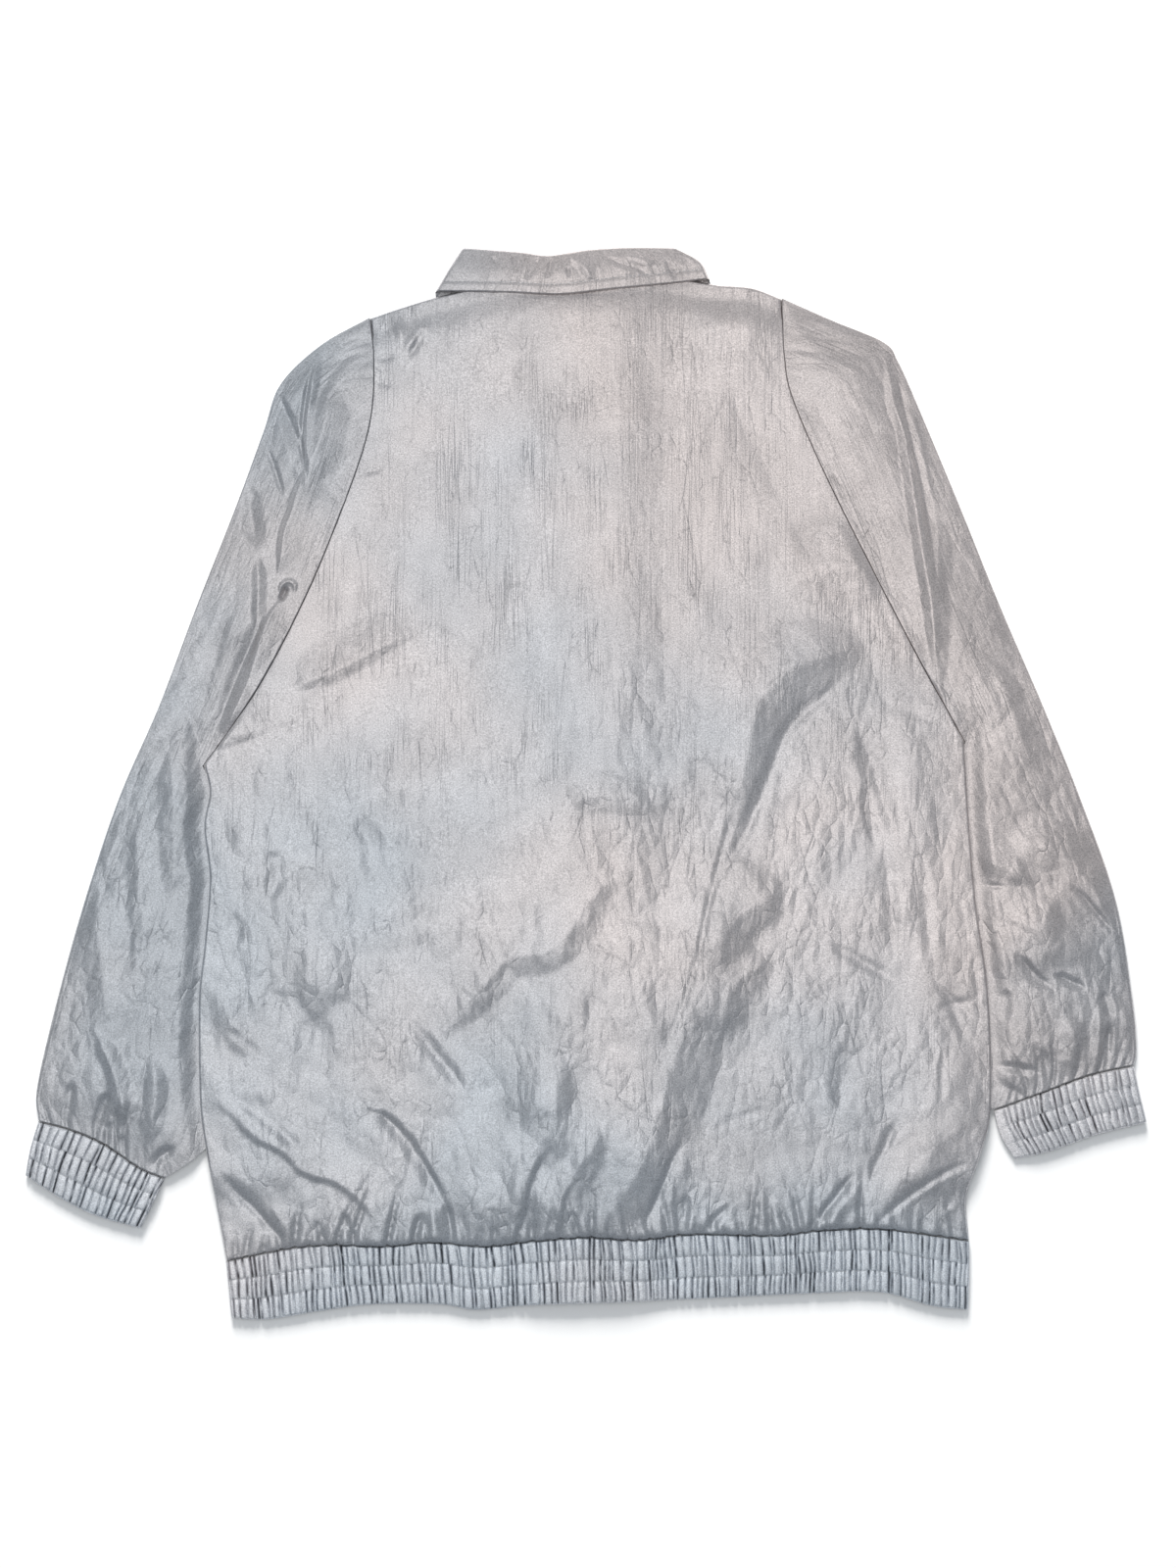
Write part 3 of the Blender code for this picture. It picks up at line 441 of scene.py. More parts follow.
def crease_height(table, x, y):
    """Summed height of the creases of a table at plan points."""
    total = np.zeros(x.size)
    flat_x, flat_y = x.ravel(), y.ravel()
    for row in table:
        line = curve(row.path, 6)(np.linspace(0, 1, 6 * len(row.path)))
        reach = 1.6 * max(row.left, row.right)
        low, high = line.min(axis=0) - reach, line.max(axis=0) + reach
        near = np.flatnonzero((flat_x > low[0]) & (flat_x < high[0])
                              & (flat_y > low[1]) & (flat_y < high[1]))
        px, py = flat_x[near], flat_y[near]
        best = np.full(px.size, 1e9)
        aside, share = np.zeros(px.size), np.zeros(px.size)
        for index in range(len(line) - 1):
            (ax, ay), (dx, dy) = line[index], line[index + 1] - line[index]
            step = np.clip(((px - ax) * dx + (py - ay) * dy) / (dx * dx + dy * dy), 0, 1)
            off_x, off_y = px - ax - step * dx, py - ay - step * dy
            gap = off_x ** 2 + off_y ** 2
            closer = gap < best
            best = np.where(closer, gap, best)
            hand = np.sign(off_y * dx - off_x * dy)
            aside = np.where(closer, np.sqrt(gap) * hand, aside)
            share = np.where(closer, (index + step) / (len(line) - 1), share)
        taper = smooth(share / 0.3) * smooth((1 - share) / 0.3)
        flank = np.abs(aside) / (np.where(aside > 0, row.left, row.right) * (0.3 + 0.7 * taper))
        crest = np.sqrt(1 + row.crest ** 2) - row.crest
        level = 1 - (np.sqrt(flank ** 2 + row.crest ** 2) - row.crest) / crest
        level = 0.5 * (level + np.sqrt(level ** 2 + 0.004))
        total[near] += row.rise * taper * level * (flank < 1.6)
    return total.reshape(x.shape)


def crinkle(u, v, seed, calm=1.0):
    """Height of the warp crinkles and of the crumple between them, less where the cloth is calm."""
    sizes = settings("jacket_sizes")
    drift = 4 * noise(u, v, 35, 45, seed)
    warp = 1 - 2 * np.abs(noise(u + drift, v + 6 * drift, 6.5, 48, seed + 1))
    crumple = facets(u + 0.3 * v + drift, v - 0.2 * u, 16, 27, seed + 2)
    broad = facets(u + 0.45 * v + 2 * drift, v - 0.3 * u, 50, 84, seed + 4)
    patchy = 0.55 + 0.45 * noise(u, v, 70, 70, seed + 3)
    fine = sizes.warp_rise * warp + calm * sizes.crumple_rise * crumple * patchy
    return (fine + calm * sizes.billow_rise * broad) / MM


def side_x(rows, y):
    """Edge position of a side seam at a height."""
    return np.interp(y, [row.y for row in rows], [row.x for row in rows])


def inside_side(x, y):
    """Distance in from the nearer side seam, negative outside the body."""
    return np.minimum(x - side_x(LEFT_SIDE, y), side_x(RIGHT_SIDE, y) - x)


def lay(x, y):
    """Lift of the fronts over the tucked sleeves and the collar leaves."""
    tucked = smooth((TUCK_REACH + TUCK_EASE - inside_side(x, y)) / TUCK_EASE)
    tucked = tucked * smooth((y - TUCK_LOW_Y) / TUCK_LOW_EASE)
    tucked = tucked * smooth((TUCK_TOP_Y - y) / TUCK_TOP_EASE)
    leaf = smooth((LEAF_REACH + TUCK_EASE - np.hypot(x - NECK_X, y - NECK_Y)) / TUCK_EASE)
    return TUCK_LIFT * tucked + LEAF_LIFT * leaf


def lap(x):
    """Share of the centre front lap, eased out to both sides."""
    return smooth((LAP_HALF + 3 + LAP_EASE - np.abs(x)) / LAP_EASE)


def back_rest(x, y):
    """Lowest outer height the back may have over the fronts."""
    return lay(x, y) + LAP_LIFT * lap(x) + 2 * WALL + SEAM


def shares(length, cell, *breaks):
    """Even shares of a length, closer together near both ends, with rows on the breaks."""
    even = np.linspace(0, 1, int(round(length / cell)) + 1)
    rim = np.array([0.35, 0.9, 1.7]) / length
    return np.unique(np.concatenate([even, rim, 1 - rim, breaks]))


def lifted(plan, height):
    """Plan points with a height."""
    return np.concatenate([plan, np.broadcast_to(height, plan.shape[:2])[..., None]], axis=2)


def cloth(name, points, cut, material, slit_shade=None):
    """Sheet over a grid of points in millimetres, with its flat cut as a UV map and, where given, a slit
    mask for painted shade, with sharp edges set by angle.
    """
    rows, columns = points.shape[:2]
    mesh = bmesh.new()
    bmesh.ops.create_grid(mesh, x_segments=columns - 1, y_segments=rows - 1, size=0.5)
    across = points[rows // 2, columns // 2 + 1] - points[rows // 2, columns // 2]
    along = points[rows // 2 + 1, columns // 2] - points[rows // 2, columns // 2]
    if np.cross(across, along)[2] < 0:
        bmesh.ops.reverse_faces(mesh, faces=mesh.faces[:])
    data = bpy.data.meshes.new(name)
    mesh.to_mesh(data)
    mesh.free()
    data.vertices.foreach_set("co", (points * MM).ravel())
    corners = np.empty(len(data.loops), dtype=np.int32)
    data.loops.foreach_get("vertex_index", corners)
    layer = data.uv_layers.new(name="cut")
    layer.uv.foreach_set("vector", (cut.reshape(-1, 2) * MM)[corners].ravel())
    data.shade_smooth()
    if slit_shade is not None:
        data.attributes.new("slit_shade", "FLOAT", "POINT").data.foreach_set("value", slit_shade.ravel())
        data.set_sharp_from_angle(angle=0.9)
    data.update()
    data.materials.append(material)
    return place(name, data)


def place(name, data):
    """Object for a finished mesh, riding with the jacket."""
    item = bpy.data.objects.new(name, data)
    bpy.context.collection.objects.link(item)
    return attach(item, "root")


def declare(nodes):
    """Hides the CAD parts that a sheet replaces."""
    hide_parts(*nodes)


def body_sides():
    """Side seam and armhole of both sides, from the band up to the shoulder."""
    left = joined(curve(LEFT_SIDE), curve(LEFT_ARMHOLE), UNDERARM_SHARE)
    right = joined(curve(RIGHT_SIDE), curve(RIGHT_ARMHOLE), UNDERARM_SHARE)
    return left, right


def slits(width, gap, seed):
    """Uneven places of gathers over a width in millimetres, with a depth and a lean for each."""
    random = np.random.default_rng(seed)
    places = np.cumsum(gap * random.uniform(0.6, 1.4, int(2 * width / gap)))
    places = np.concatenate([[-gap], places[places < width], [width + gap]])
    return places, random.uniform(0.25, 1.0, places.size) ** 1.4, random.uniform(-1, 1, places.size)


def pleats(x, above, width, gap, seed):
    """Height of short uneven pleats that run up from a gathered seam."""
    places, depths, leans = slits(width, gap, seed)
    total = np.zeros(x.shape)
    for place_at, depth, lean in zip(places[1:-1], depths[1:-1], leans[1:-1]):
        tall = 9 + 24 * depth * depth
        aside = x - place_at - lean * (0.25 * above + 0.006 * above ** 2)
        total = total - (0.5 + 1.2 * depth) * np.exp(-(np.abs(aside) / 1.5) ** 1.2 - (above / tall) ** 2)
        total = total + 0.28 * np.exp(-((aside + 0.45 * gap) / (0.4 * gap)) ** 2 - (above / 15) ** 2)
    return settings("jacket_sizes").pleat_rise / MM * total


def make_back():
    """Back panel with its folds, pleats and crinkles."""
    sizes = settings("jacket_sizes")
    left, right = body_sides()
    top = joined(curve(LEFT_SHOULDER), joined(curve(NECK), curve(RIGHT_SHOULDER),
                 (1 - 2 * SHOULDER_SHARE) / (1 - SHOULDER_SHARE)), SHOULDER_SHARE)
    whole = patch(curve(BAND_SEAM), top, left, right)
    cell = sizes.cell / MM
    across, up = np.meshgrid(
        shares(BODY_WIDTH, cell, SHOULDER_SHARE, 1 - SHOULDER_SHARE),
        shares(BODY_LENGTH, cell, UNDERARM_SHARE) ** 1.12)
    plan = whole(0.0004 + 0.9992 * across, 0.0003 + 0.9994 * up)
    x, y = plan[..., 0], plan[..., 1]
    side = np.minimum(across, 1 - across) * (BODY_WIDTH - SHOULDER_NARROWING * smooth(2 * up - 1))
    above, below = up * BODY_LENGTH, (1 - up) * BODY_LENGTH
    edge = np.minimum(side, below)
    armhole = smooth((up - UNDERARM_SHARE) / 0.04) * smooth((1 - up) / 0.04)
    filled = smooth(np.minimum(side / SIDE_EASE, below / NECK_EASE))
    full = np.maximum(0.25 + 0.75 * filled, 0.7 * armhole)
    full = full * (0.45 + 0.55 * roll(above / BAND_ROLL))
    held = smooth(edge / FOLD_EASE + 0.35 * armhole) * (0.5 + 0.5 * roll(above / FOLD_ROLL))
    calm = 0.2 + 0.8 * smooth((CALM_Y - y + 0.5 * np.abs(x)) / CALM_EASE)
    puff = sizes.body_puff / MM * full + held * crease_height(BACK_CREASES, x, y)
    gathered = pleats(x - BAND_PLEATS_FROM, above, BAND_PLEATS_SPAN, BAND_PLEAT_GAP, BAND_PLEAT_SEED)
    puff = puff + gathered + smooth(edge / 10 + 0.5) * crinkle(x, y, BACK_SEED, calm)
    puff = 0.5 * (puff + np.sqrt(puff ** 2 + 0.5))
    rest = back_rest(x, y)
    high = rest + puff
    pucker = 0.22 + 0.28 * noise(y, x, 4, 400, BACK_SEED + 2)
    risen = smooth((y - ARMHOLE_RISE_Y) / ARMHOLE_RISE_EASE)
    sewn = SLEEVE_STACK + risen * (high - pucker - SLEEVE_STACK)
    low = np.where(armhole > 0.5, sewn, lay(x, y) + LAP_LIFT * lap(x) + 0.2)
    height = low + (high - low) * roll(edge / np.where(armhole > 0.5, 4.0 - 3.0 * risen, 1.7))
    turned_in = np.where((armhole > 0.5) & (side < EDGE_COLUMN), SEAM_TURN, 0)
    height = np.maximum(height - turned_in - 0.8 * (1 - roll(above / 1.4)), lay(x, y) + 0.2)
    item = cloth("back_cloth", lifted(plan, height), plan, nylon_cloth())
    declare(["back"])


def lap_edge(seam_end, x):
    """Front edge from the band seam up to the neck."""
    return curve(spots(seam_end, (x, -200), (x, 0), (x, NECK_FRONT_Y)))


def make_front(sign):
    """One front panel, flat on the floor and lifted over what it lies on."""
    seam = curve(BAND_SEAM)
    left, right = body_sides()
    if sign < 0:
        name, lift = "front_left", PLACKET_LIFT
        top = joined(curve(LEFT_SHOULDER), curve(FRONT_NECK_LEFT), FRONT_SHOULDER)
        whole = patch(lambda share: seam(LEFT_LAP_SHARE * share), top, left,
                      lap_edge(seam(LEFT_LAP_SHARE), LAP_HALF))
        low_edge, high_edge = 0.004, 0.0
    else:
        name, lift = "front_right", LAP_LIFT
        top = joined(curve(FRONT_NECK_RIGHT), curve(RIGHT_SHOULDER), 1 - FRONT_SHOULDER)
        whole = patch(lambda share: seam(RIGHT_LAP_SHARE + (1 - RIGHT_LAP_SHARE) * share), top,
                      lap_edge(seam(RIGHT_LAP_SHARE), -LAP_HALF), right)
        low_edge, high_edge = 0.0, 0.004
    across, up = np.meshgrid(
        shares(0.5 * BODY_WIDTH, FRONT_CELL, FRONT_SHOULDER, 1 - FRONT_SHOULDER),
        shares(BODY_LENGTH, FRONT_CELL, UNDERARM_SHARE))
    armhole = smooth((up - UNDERARM_SHARE) / 0.06)
    plan = whole(low_edge * armhole + (1 - (low_edge + high_edge) * armhole) * across,
                 0.0008 + 0.999 * up)
    x, y = plan[..., 0], plan[..., 1]
    height = lay(x, y) + lift * lap(x) + FLOOR_GAP
    item = cloth(name + "_cloth", lifted(plan, height)[:, ::-1], plan[:, ::-1], nylon_cloth())
    item.data.flip_normals()
    declare([name])


def folded_shares(width, cell):
    """Shares across a flattened tube, from its sewn edge over the top, and its level there."""
    top = 1 - shares(width, cell)
    top = np.sort(top[top > 0.02])[::-1]
    rim = np.linspace(0, 1, 9)
    low = np.linspace(0.02, 1, 10)
    share = np.concatenate([top, 0.02 - 0.02 * np.sin(np.pi * rim), low])
    level = np.concatenate([np.ones(top.size), 0.5 + 0.5 * np.cos(np.pi * rim), np.zeros(10)])
    return share, level


def make_sleeve(name, armhole, outer, inner, cuff, table, seed):
    """Sleeve from the armhole to the cuff seam, folded at its outer edge."""
    sizes = settings("jacket_sizes")
    fold_edge = curve(outer)
    sewn_edge = joined(curve(armhole), curve(inner), SLEEVE_UNDERARM)
    end = curve(cuff)
    cell = 0.64 * sizes.cell / MM
    share, level = folded_shares(SLEEVE_WIDTH, cell)
    across, along = np.meshgrid(share, shares(SLEEVE_LENGTH, cell, SLEEVE_UNDERARM))
    level = np.broadcast_to(level, across.shape)
    run = np.clip(along, SLEEVE_TIP, 0.9992)
    s = across[..., None]
    straight = (1 - s) * fold_edge(1.0) + s * sewn_edge(1.0)
    shaped = smooth((run - 0.85) / 0.15)[..., None] * (end(across) - straight)
    plan = (1 - s) * fold_edge(run) + s * sewn_edge(run) + shaped
    x, y = plan[..., 0], plan[..., 1]
    span = np.linalg.norm(fold_edge(run) - sewn_edge(run), axis=2)
    from_fold, from_seam = across * span, (1 - across) * span
    to_cuff = (1 - along) * SLEEVE_LENGTH
    risen = smooth((y - ARMHOLE_RISE_Y) / ARMHOLE_RISE_EASE)
    clear = np.maximum(smooth((-inside_side(x, y) - 1) / 15), risen)
    full = (0.4 + 0.6 * smooth(from_fold / SLEEVE_EASE)) * (1 - 0.33 * smooth(2 * across - 1))
    near_cuff = 0.4 + 0.6 * smooth(to_cuff / CUFF_EASE)
    puff = sizes.sleeve_puff / MM * full + smooth(from_fold / 14) * crease_height(table, x, y)
    cut = np.stack([np.where(level > 0.5, from_fold, -from_fold), along * SLEEVE_LENGTH], axis=2)
    fine = smooth(from_fold / 8) * crinkle(cut[..., 0], cut[..., 1], seed)
    puff = puff + pleats(from_fold, to_cuff, SLEEVE_WIDTH, CUFF_PLEAT_GAP, seed + 5) + fine
    puff = 0.5 * (puff + np.sqrt(puff ** 2 + 0.4))
    top = SLEEVE_STACK + clear * near_cuff * puff
    seam = np.where(along < SLEEVE_UNDERARM, 1 - roll(from_seam / 0.9), 0)
    seam = seam * (0.45 + 0.35 * noise(along * SLEEVE_LENGTH, across, 5, 9, seed + 7))
    seam = seam + np.where((along < SLEEVE_UNDERARM) & (from_seam < EDGE_COLUMN), SEAM_TURN, 0)
    top = np.maximum(top - np.maximum(seam, 0.8 * (1 - roll(to_cuff / 1.6))), 0.4)
    height = FLOOR_GAP + (top - FLOOR_GAP) * level
    item = cloth(name + "_cloth", lifted(plan, height), cut, sleeve_cloth_shaded())
    declare([name])


def gathers(across, along, width, deep, gap, rise, seed):
    """Height of three elastic channels: flat strips with narrow slits pinched between them, and the pinch
    depth that the material darkens as painted shade.
    """
    channel = np.clip(np.floor(along * CHANNELS), 0, CHANNELS - 1).astype(int)
    within = along * CHANNELS - channel
    seam = np.minimum(within, 1 - within) * deep / CHANNELS
    x = across * width
    shared, shared_depth, shared_tilt = slits(width, gap, seed)
    total, pinched = np.zeros(across.shape), np.zeros(across.shape)
    for row in range(CHANNELS):
        random = np.random.default_rng(seed + 1 + row)
        places = np.sort(shared + random.uniform(-0.7, 0.7, shared.size))
        depths = (0.25 + 1.5 * shared_depth) * random.uniform(0.4, 1.5, shared.size)
        tilts = 0.5 * shared_tilt + random.uniform(-0.6, 0.6, shared.size)
        here = channel == row
        lean = 0.9 * noise(x[here], along[here], 9, 0.3, seed + 5)
        spot = x[here] + lean
        index = np.clip(np.searchsorted(places, spot) - 1, 0, places.size - 2)
        before, after = spot - places[index], places[index + 1] - spot
        strip = np.maximum(before + after, 0.4)
        near_before = before < after
        gone = np.where(near_before, before, after)
        depth = np.where(near_before, depths[index], depths[index + 1])
        fade = np.clip(0.65 + 0.9 * noise(37 * depth, within[here] + 3 * row, 1, 0.5, seed + 6), 0, 1)
        crown = 0.18 * (1 - (2 * before / strip - 1) ** 2) + 0.35 * tilts[index] * (before / strip - 0.5)
        pinched[here] = depth * (0.1 + 0.9 * fade) * np.exp(-(gone / (0.24 + 0.1 * depth)) ** 1.6)
        total[here] = crown - pinched[here]
    stitched = 0.08 * smooth(seam / 6) - 0.16 * np.exp(-(seam / 0.7) ** 2)
    return rise * (total + 0.75 + stitched), np.clip(pinched, 0, 1)


def make_cuff(name, seam, hem, left, right, width, plain, seed):
    """Elastic cuff in three channels, gathered on its upper side."""
    sizes = settings("jacket_sizes")
    whole = patch(curve(seam), curve(hem), curve(left), curve(right))
    cell = sizes.fine_cell / MM
    share, level = folded_shares(width, 0.58 * cell)
    across, along = np.meshgrid(share, shares(CUFF_DEEP, 1.8 * cell, 1 / 3, 2 / 3))
    level = np.broadcast_to(level, across.shape)
    plan = whole(across, 0.014 + 0.986 * along)
    gathered = smooth((1 - across) * width / plain) if plain else 1.0
    gap, rise = 1.15 * sizes.gather_gap / MM, sizes.cuff_rise / MM
    waves, slit_shade = gathers(across, along, width, CUFF_DEEP, gap, rise, seed)
    waves, slit_shade = waves * gathered, slit_shade * gathered * level
    top = np.maximum(SLEEVE_STACK + 0.3 + waves, 1.2)
    top = top - 0.8 * (1 - roll(along * CUFF_DEEP / 1.0))
    top = top - 1.8 * (1 - roll((1 - along) * CUFF_DEEP / 1.8))
    height = FLOOR_GAP + (np.maximum(top, 0.2) - FLOOR_GAP) * level
    flat = CUFF_TAKE_UP * np.where(level > 0.5, across, -across) * width
    cut = np.stack([flat, along * CUFF_DEEP], axis=2)
    item = cloth(name + "_elastic", lifted(plan, height), cut, elastic_cloth(), slit_shade)
    declare([name])


def band_patch():
    """Plan patch of the waistband's upper side, from its seam to its hem."""
    return patch(curve(BAND_SEAM), curve(BAND_HEM),
                 curve(spots((-265, -351), (-263, -372), (-261, -393))),
                 curve(spots((282, -336), (282, -361), (281, -387))))


def make_waistband():
    """Elastic strip from the centre front round the back to the centre front."""
    sizes = settings("jacket_sizes")
    whole = band_patch()
    cell = sizes.fine_cell / MM
    rim = 0.0025
    under_left = np.linspace(LEFT_LAP_SHARE, rim, UNDER_COLUMNS)
    top = rim + (1 - 2 * rim) * shares(BAND_WIDTH, 0.58 * cell)
    under_right = np.linspace(1 - rim, RIGHT_LAP_SHARE, UNDER_COLUMNS)
    turn = np.linspace(0, 1, 7)[1:-1]
    share = np.concatenate([under_left, rim - rim * np.sin(np.pi * turn), top,
                            1 - rim + rim * np.sin(np.pi * turn), under_right])
    under = np.zeros(UNDER_COLUMNS)
    level = np.concatenate([under, 0.5 - 0.5 * np.cos(np.pi * turn), np.ones(top.size),
                            0.5 + 0.5 * np.cos(np.pi * turn), under])
    aside = np.ones(UNDER_COLUMNS + turn.size)
    hand = np.concatenate([-aside, np.zeros(top.size), aside])
    across, along = np.meshgrid(share, shares(BAND_DEEP, 2.0 * cell, 1 / 3, 2 / 3))
    level = np.broadcast_to(level, across.shape)
    plan = whole(across, 0.012 + 0.988 * along)
    x, y = plan[..., 0], plan[..., 1]
    floor = np.where(hand < 0, PLACKET_LIFT, LAP_LIFT) * lap(x) + FLOOR_GAP
    gap, rise = sizes.gather_gap / MM, sizes.band_rise / MM
    waves, slit_shade = gathers(across, along, BAND_WIDTH, BAND_DEEP, gap, rise, BAND_SEED)
    high = np.maximum(back_rest(x, y) + 0.4 + waves, floor + 1.2)
    high = high - 0.5 * (1 - roll(along * BAND_DEEP / 0.8))
    high = high - 2.2 * (1 - roll((1 - along) * BAND_DEEP / 1.8))
    height = floor + (np.maximum(high, floor + 0.1) - floor) * level
    flat = np.where(hand < 0, -across, np.where(hand > 0, 2 - across, across))
    cut = np.stack([BAND_TAKE_UP * flat * BAND_WIDTH, -along * BAND_DEEP], axis=2)
    item = cloth("waistband_elastic", lifted(plan, height), cut, elastic_cloth(), slit_shade * level)
    declare(["waistband"])


def collar_parts():
    """Plan patches of the collar: left leaf, back fall, right leaf."""
    left_end = curve(spots((-111, 362), (-101, 379), (-91, 394.2)))
    right_end = curve(spots((91, 371), (84, 384), (66, 394)))
    left = patch(curve(LEAF_EDGE_LEFT), curve(LEAF_ROLL_LEFT), left_end,
                 curve(spots((-42, 262), (-24, 281), (-4, 299))))
    back = patch(curve(COLLAR_EDGE), curve(COLLAR_ROLL), left_end, right_end)
    right = patch(curve(LEAF_EDGE_RIGHT), curve(LEAF_ROLL_RIGHT), right_end,
                  curve(spots((42, 262), (24, 281), (4, 299))))
    return left, back, right


def collar_height(over, up, x, y):
    """Outer height of the back fall of the collar."""
    low = back_rest(x, y) + SEAM + 0.1 + WALL + 1.6 * smooth(1.6 - 1.6 * up)
    swell = 0.9 * np.sin(np.pi * np.clip(over, 0, 1)) ** 0.5 * np.sin(np.pi * (0.2 + 0.8 * up))
    ripple = 0.3 * np.sin(13.0 * over + 2.0 * up) ** 2 * np.sin(np.pi * np.clip(over, 0, 1))
    fine = 0.8 * crinkle(x, 0.6 * y, COLLAR_SEED) + crease_height(COLLAR_CREASES, x, y)
    from_row = up - COLLAR_STITCH_ROW
    uneven = np.abs(noise(x, 0 * y, 3.2, 1, COLLAR_SEED + 2))
    pucker = 0.25 * uneven * np.exp(-(from_row / 0.13) ** 2)
    groove = 0.55 * np.exp(-(from_row / 0.035) ** 2)
    return low + swell + ripple + fine + pucker - groove


def make_collar():
    """Collar fall over the back, turned at its ends into the leaves under the fronts."""
    left, back, right = collar_parts()
    rows = shares(FALL_DEEP, COLLAR_CELL)
    leaf, up_leaf = np.meshgrid(np.linspace(1, 0.016, LEAF_COLUMNS), rows)
    over, up = np.meshgrid(shares(FALL_WIDTH, COLLAR_CELL), rows)
    plan = back(over, up)
    x, y = plan[..., 0], plan[..., 1]
    rim = roll(np.minimum(over, 1 - over) * FALL_WIDTH / 3)
    high = collar_height(over, up, x, y)
    turn = 2.2
    height = turn + (high - turn) * rim
    height = height - 1.3 * (1 - roll(up * FALL_DEEP / 1.2))
    height = height - 2.2 * (1 - roll((1 - up) * FALL_DEEP / 2.4))
    fall = lifted(plan, np.maximum(height, FLOOR_GAP))
    low_left = lifted(left(leaf, up_leaf), FLOOR_GAP)
    low_right = lifted(right(leaf[:, ::-1], up_leaf), FLOOR_GAP)
    points = np.concatenate([low_left, fall, low_right], axis=1)
    hem = points[:1] * 1.0
    level = np.concatenate([np.ones(LEAF_COLUMNS), -np.ones(fall.shape[1]), np.ones(LEAF_COLUMNS)])
    hem[..., 2] = np.maximum(hem[..., 2] + 0.9 * level, 0.05)
    turned = points[8:9] * 1.0
    turned[..., 2] = hem[..., 2]
    points = np.concatenate([turned, hem, points], axis=0)
    wide = run_of(points[4, :, :2])
    deep = np.concatenate([[-9.0, -1.0], rows * FALL_DEEP])
    cut = np.stack(np.meshgrid(wide, deep), axis=2)
    item = cloth("collar_cloth", points, cut, sleeve_cloth_shaded())
    declare(["collar_fall"])


def make_stand():
    """Low stand between the neck edge of the back and the roll of the fall."""
    neck = curve(spots((-99, 366.5), (-60, 371.6), (0, 373.6), (60, 373.6), (88, 370)))
    edge = curve(spots((-84, 391), (-27, 385), (0, 388), (62, 391)))
    whole = patch(neck, edge, curve(spots((-99, 366.5), (-91, 380), (-84, 391))),
                  curve(spots((88, 370), (76, 381), (62, 391))))
    across, up = np.meshgrid(shares(180, 3), shares(18, 3))
    plan = whole(across, up)
    height = back_rest(plan[..., 0], plan[..., 1]) + 0.1
    item = cloth("collar_stand_cloth", lifted(plan, height), plan, nylon_cloth())
    declare(["collar_stand"])


def small_parts(name, mesh, material):
    """Object for many small parts built in one mesh."""
    data = bpy.data.meshes.new(name)
    mesh.to_mesh(data)
    mesh.free()
    data.shade_smooth()
    data.materials.append(material)
    return place(name, data)


def make_snaps():
    """Domed snap caps with a rolled rim, set in the outer lap and facing down."""
    sizes = settings("jacket_sizes")
    mesh = bmesh.new()
    radius, thick = sizes.snap_radius, sizes.snap_thick
    for index in range(SNAP_COUNT):
        y = SNAP_TOP_Y - SNAP_STEP * index
        top = float(lay(np.array(0.0), np.array(y))) + PLACKET_LIFT - SEAM
        ring = [mesh.verts.new((radius * out, y * MM, (top * MM - thick) + thick * up))
                for out, up in SNAP_PROFILE]
        edges = [mesh.edges.new(pair) for pair in zip(ring, ring[1:])]
        bmesh.ops.spin(mesh, geom=ring + edges, cent=(0, y * MM, 0), axis=(0, 0, 1),
                       angle=FULL_TURN, steps=SNAP_SIDES, use_merge=True)
    bmesh.ops.remove_doubles(mesh, verts=mesh.verts[:], dist=1e-6)
    bmesh.ops.recalc_face_normals(mesh, faces=mesh.faces[:])
    item = small_parts("snap_caps", mesh, snap_metal())
    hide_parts(*["snap_%d" % (index + 1) for index in range(SNAP_COUNT)])


def stitches(mesh, line):
    """Sews a row of stitches along a line of points in millimetres."""
    sizes = settings("jacket_sizes")
    length, gap = sizes.stitch / MM, 0.28 * sizes.stitch / MM
    run = run_of(line)
    for start in np.arange(0.5 * gap, run[-1] - length, length + gap):
        ends = [Vector([np.interp(start + step, run, line[:, axis]) for axis in range(3)])
                for step in (0.0, length)]
        way = (ends[1] - ends[0]).normalized()
        turn = way.to_track_quat("X", "Z").to_matrix().to_4x4()
        size = Matrix.Diagonal((0.5 * length, 0.5 * sizes.thread / MM, 0.35 * sizes.thread / MM, 1))
        spot = Matrix.Translation((ends[0] + ends[1]) * 0.5)
        bmesh.ops.create_uvsphere(mesh, u_segments=6, v_segments=4, radius=1.0,
                                  matrix=Matrix.Scale(MM, 4) @ spot @ turn @ size
                                  @ Matrix.Rotation(QUARTER_TURN, 4, "Y"))


def surface_row(name, plan):
    """Points just above a piece along a plan line, found on the piece itself."""
    tree = BVHTree.FromObject(bpy.data.objects[name], bpy.context.evaluated_depsgraph_get())
    found = []
    for x, y in plan:
        spot = tree.ray_cast(Vector((x * MM, y * MM, 0.06)), Vector((0, 0, -1)))[0]
        if spot is not None:
            found.append((x, y, spot.z / MM + 0.05))
    return np.array(found)


def make_stitching():
    """Rows of stitches on the collar, the waistband and the cuffs."""
    mesh = bmesh.new()
    bpy.context.view_layer.update()
    steps = np.linspace(0.006, 0.994, 300)
    back = collar_parts()[1]
    stitches(mesh, surface_row("collar_cloth", back(steps, 0 * steps + COLLAR_STITCH_ROW)))
    steps = np.linspace(0.004, 0.996, 700)
    whole = band_patch()
    for row in CHANNEL_STITCH_ROWS:
        stitches(mesh, surface_row("waistband_elastic", whole(steps, 0 * steps + row)))
    for name, seam, hem, left, right in cuff_rows():
        whole = patch(curve(seam), curve(hem), curve(left), curve(right))
        steps = np.linspace(0.02, 0.985, 200)
        for row in CHANNEL_STITCH_ROWS:
            stitches(mesh, surface_row(name + "_elastic", whole(steps, 0 * steps + row)))
    item = small_parts("stitching", mesh, thread())


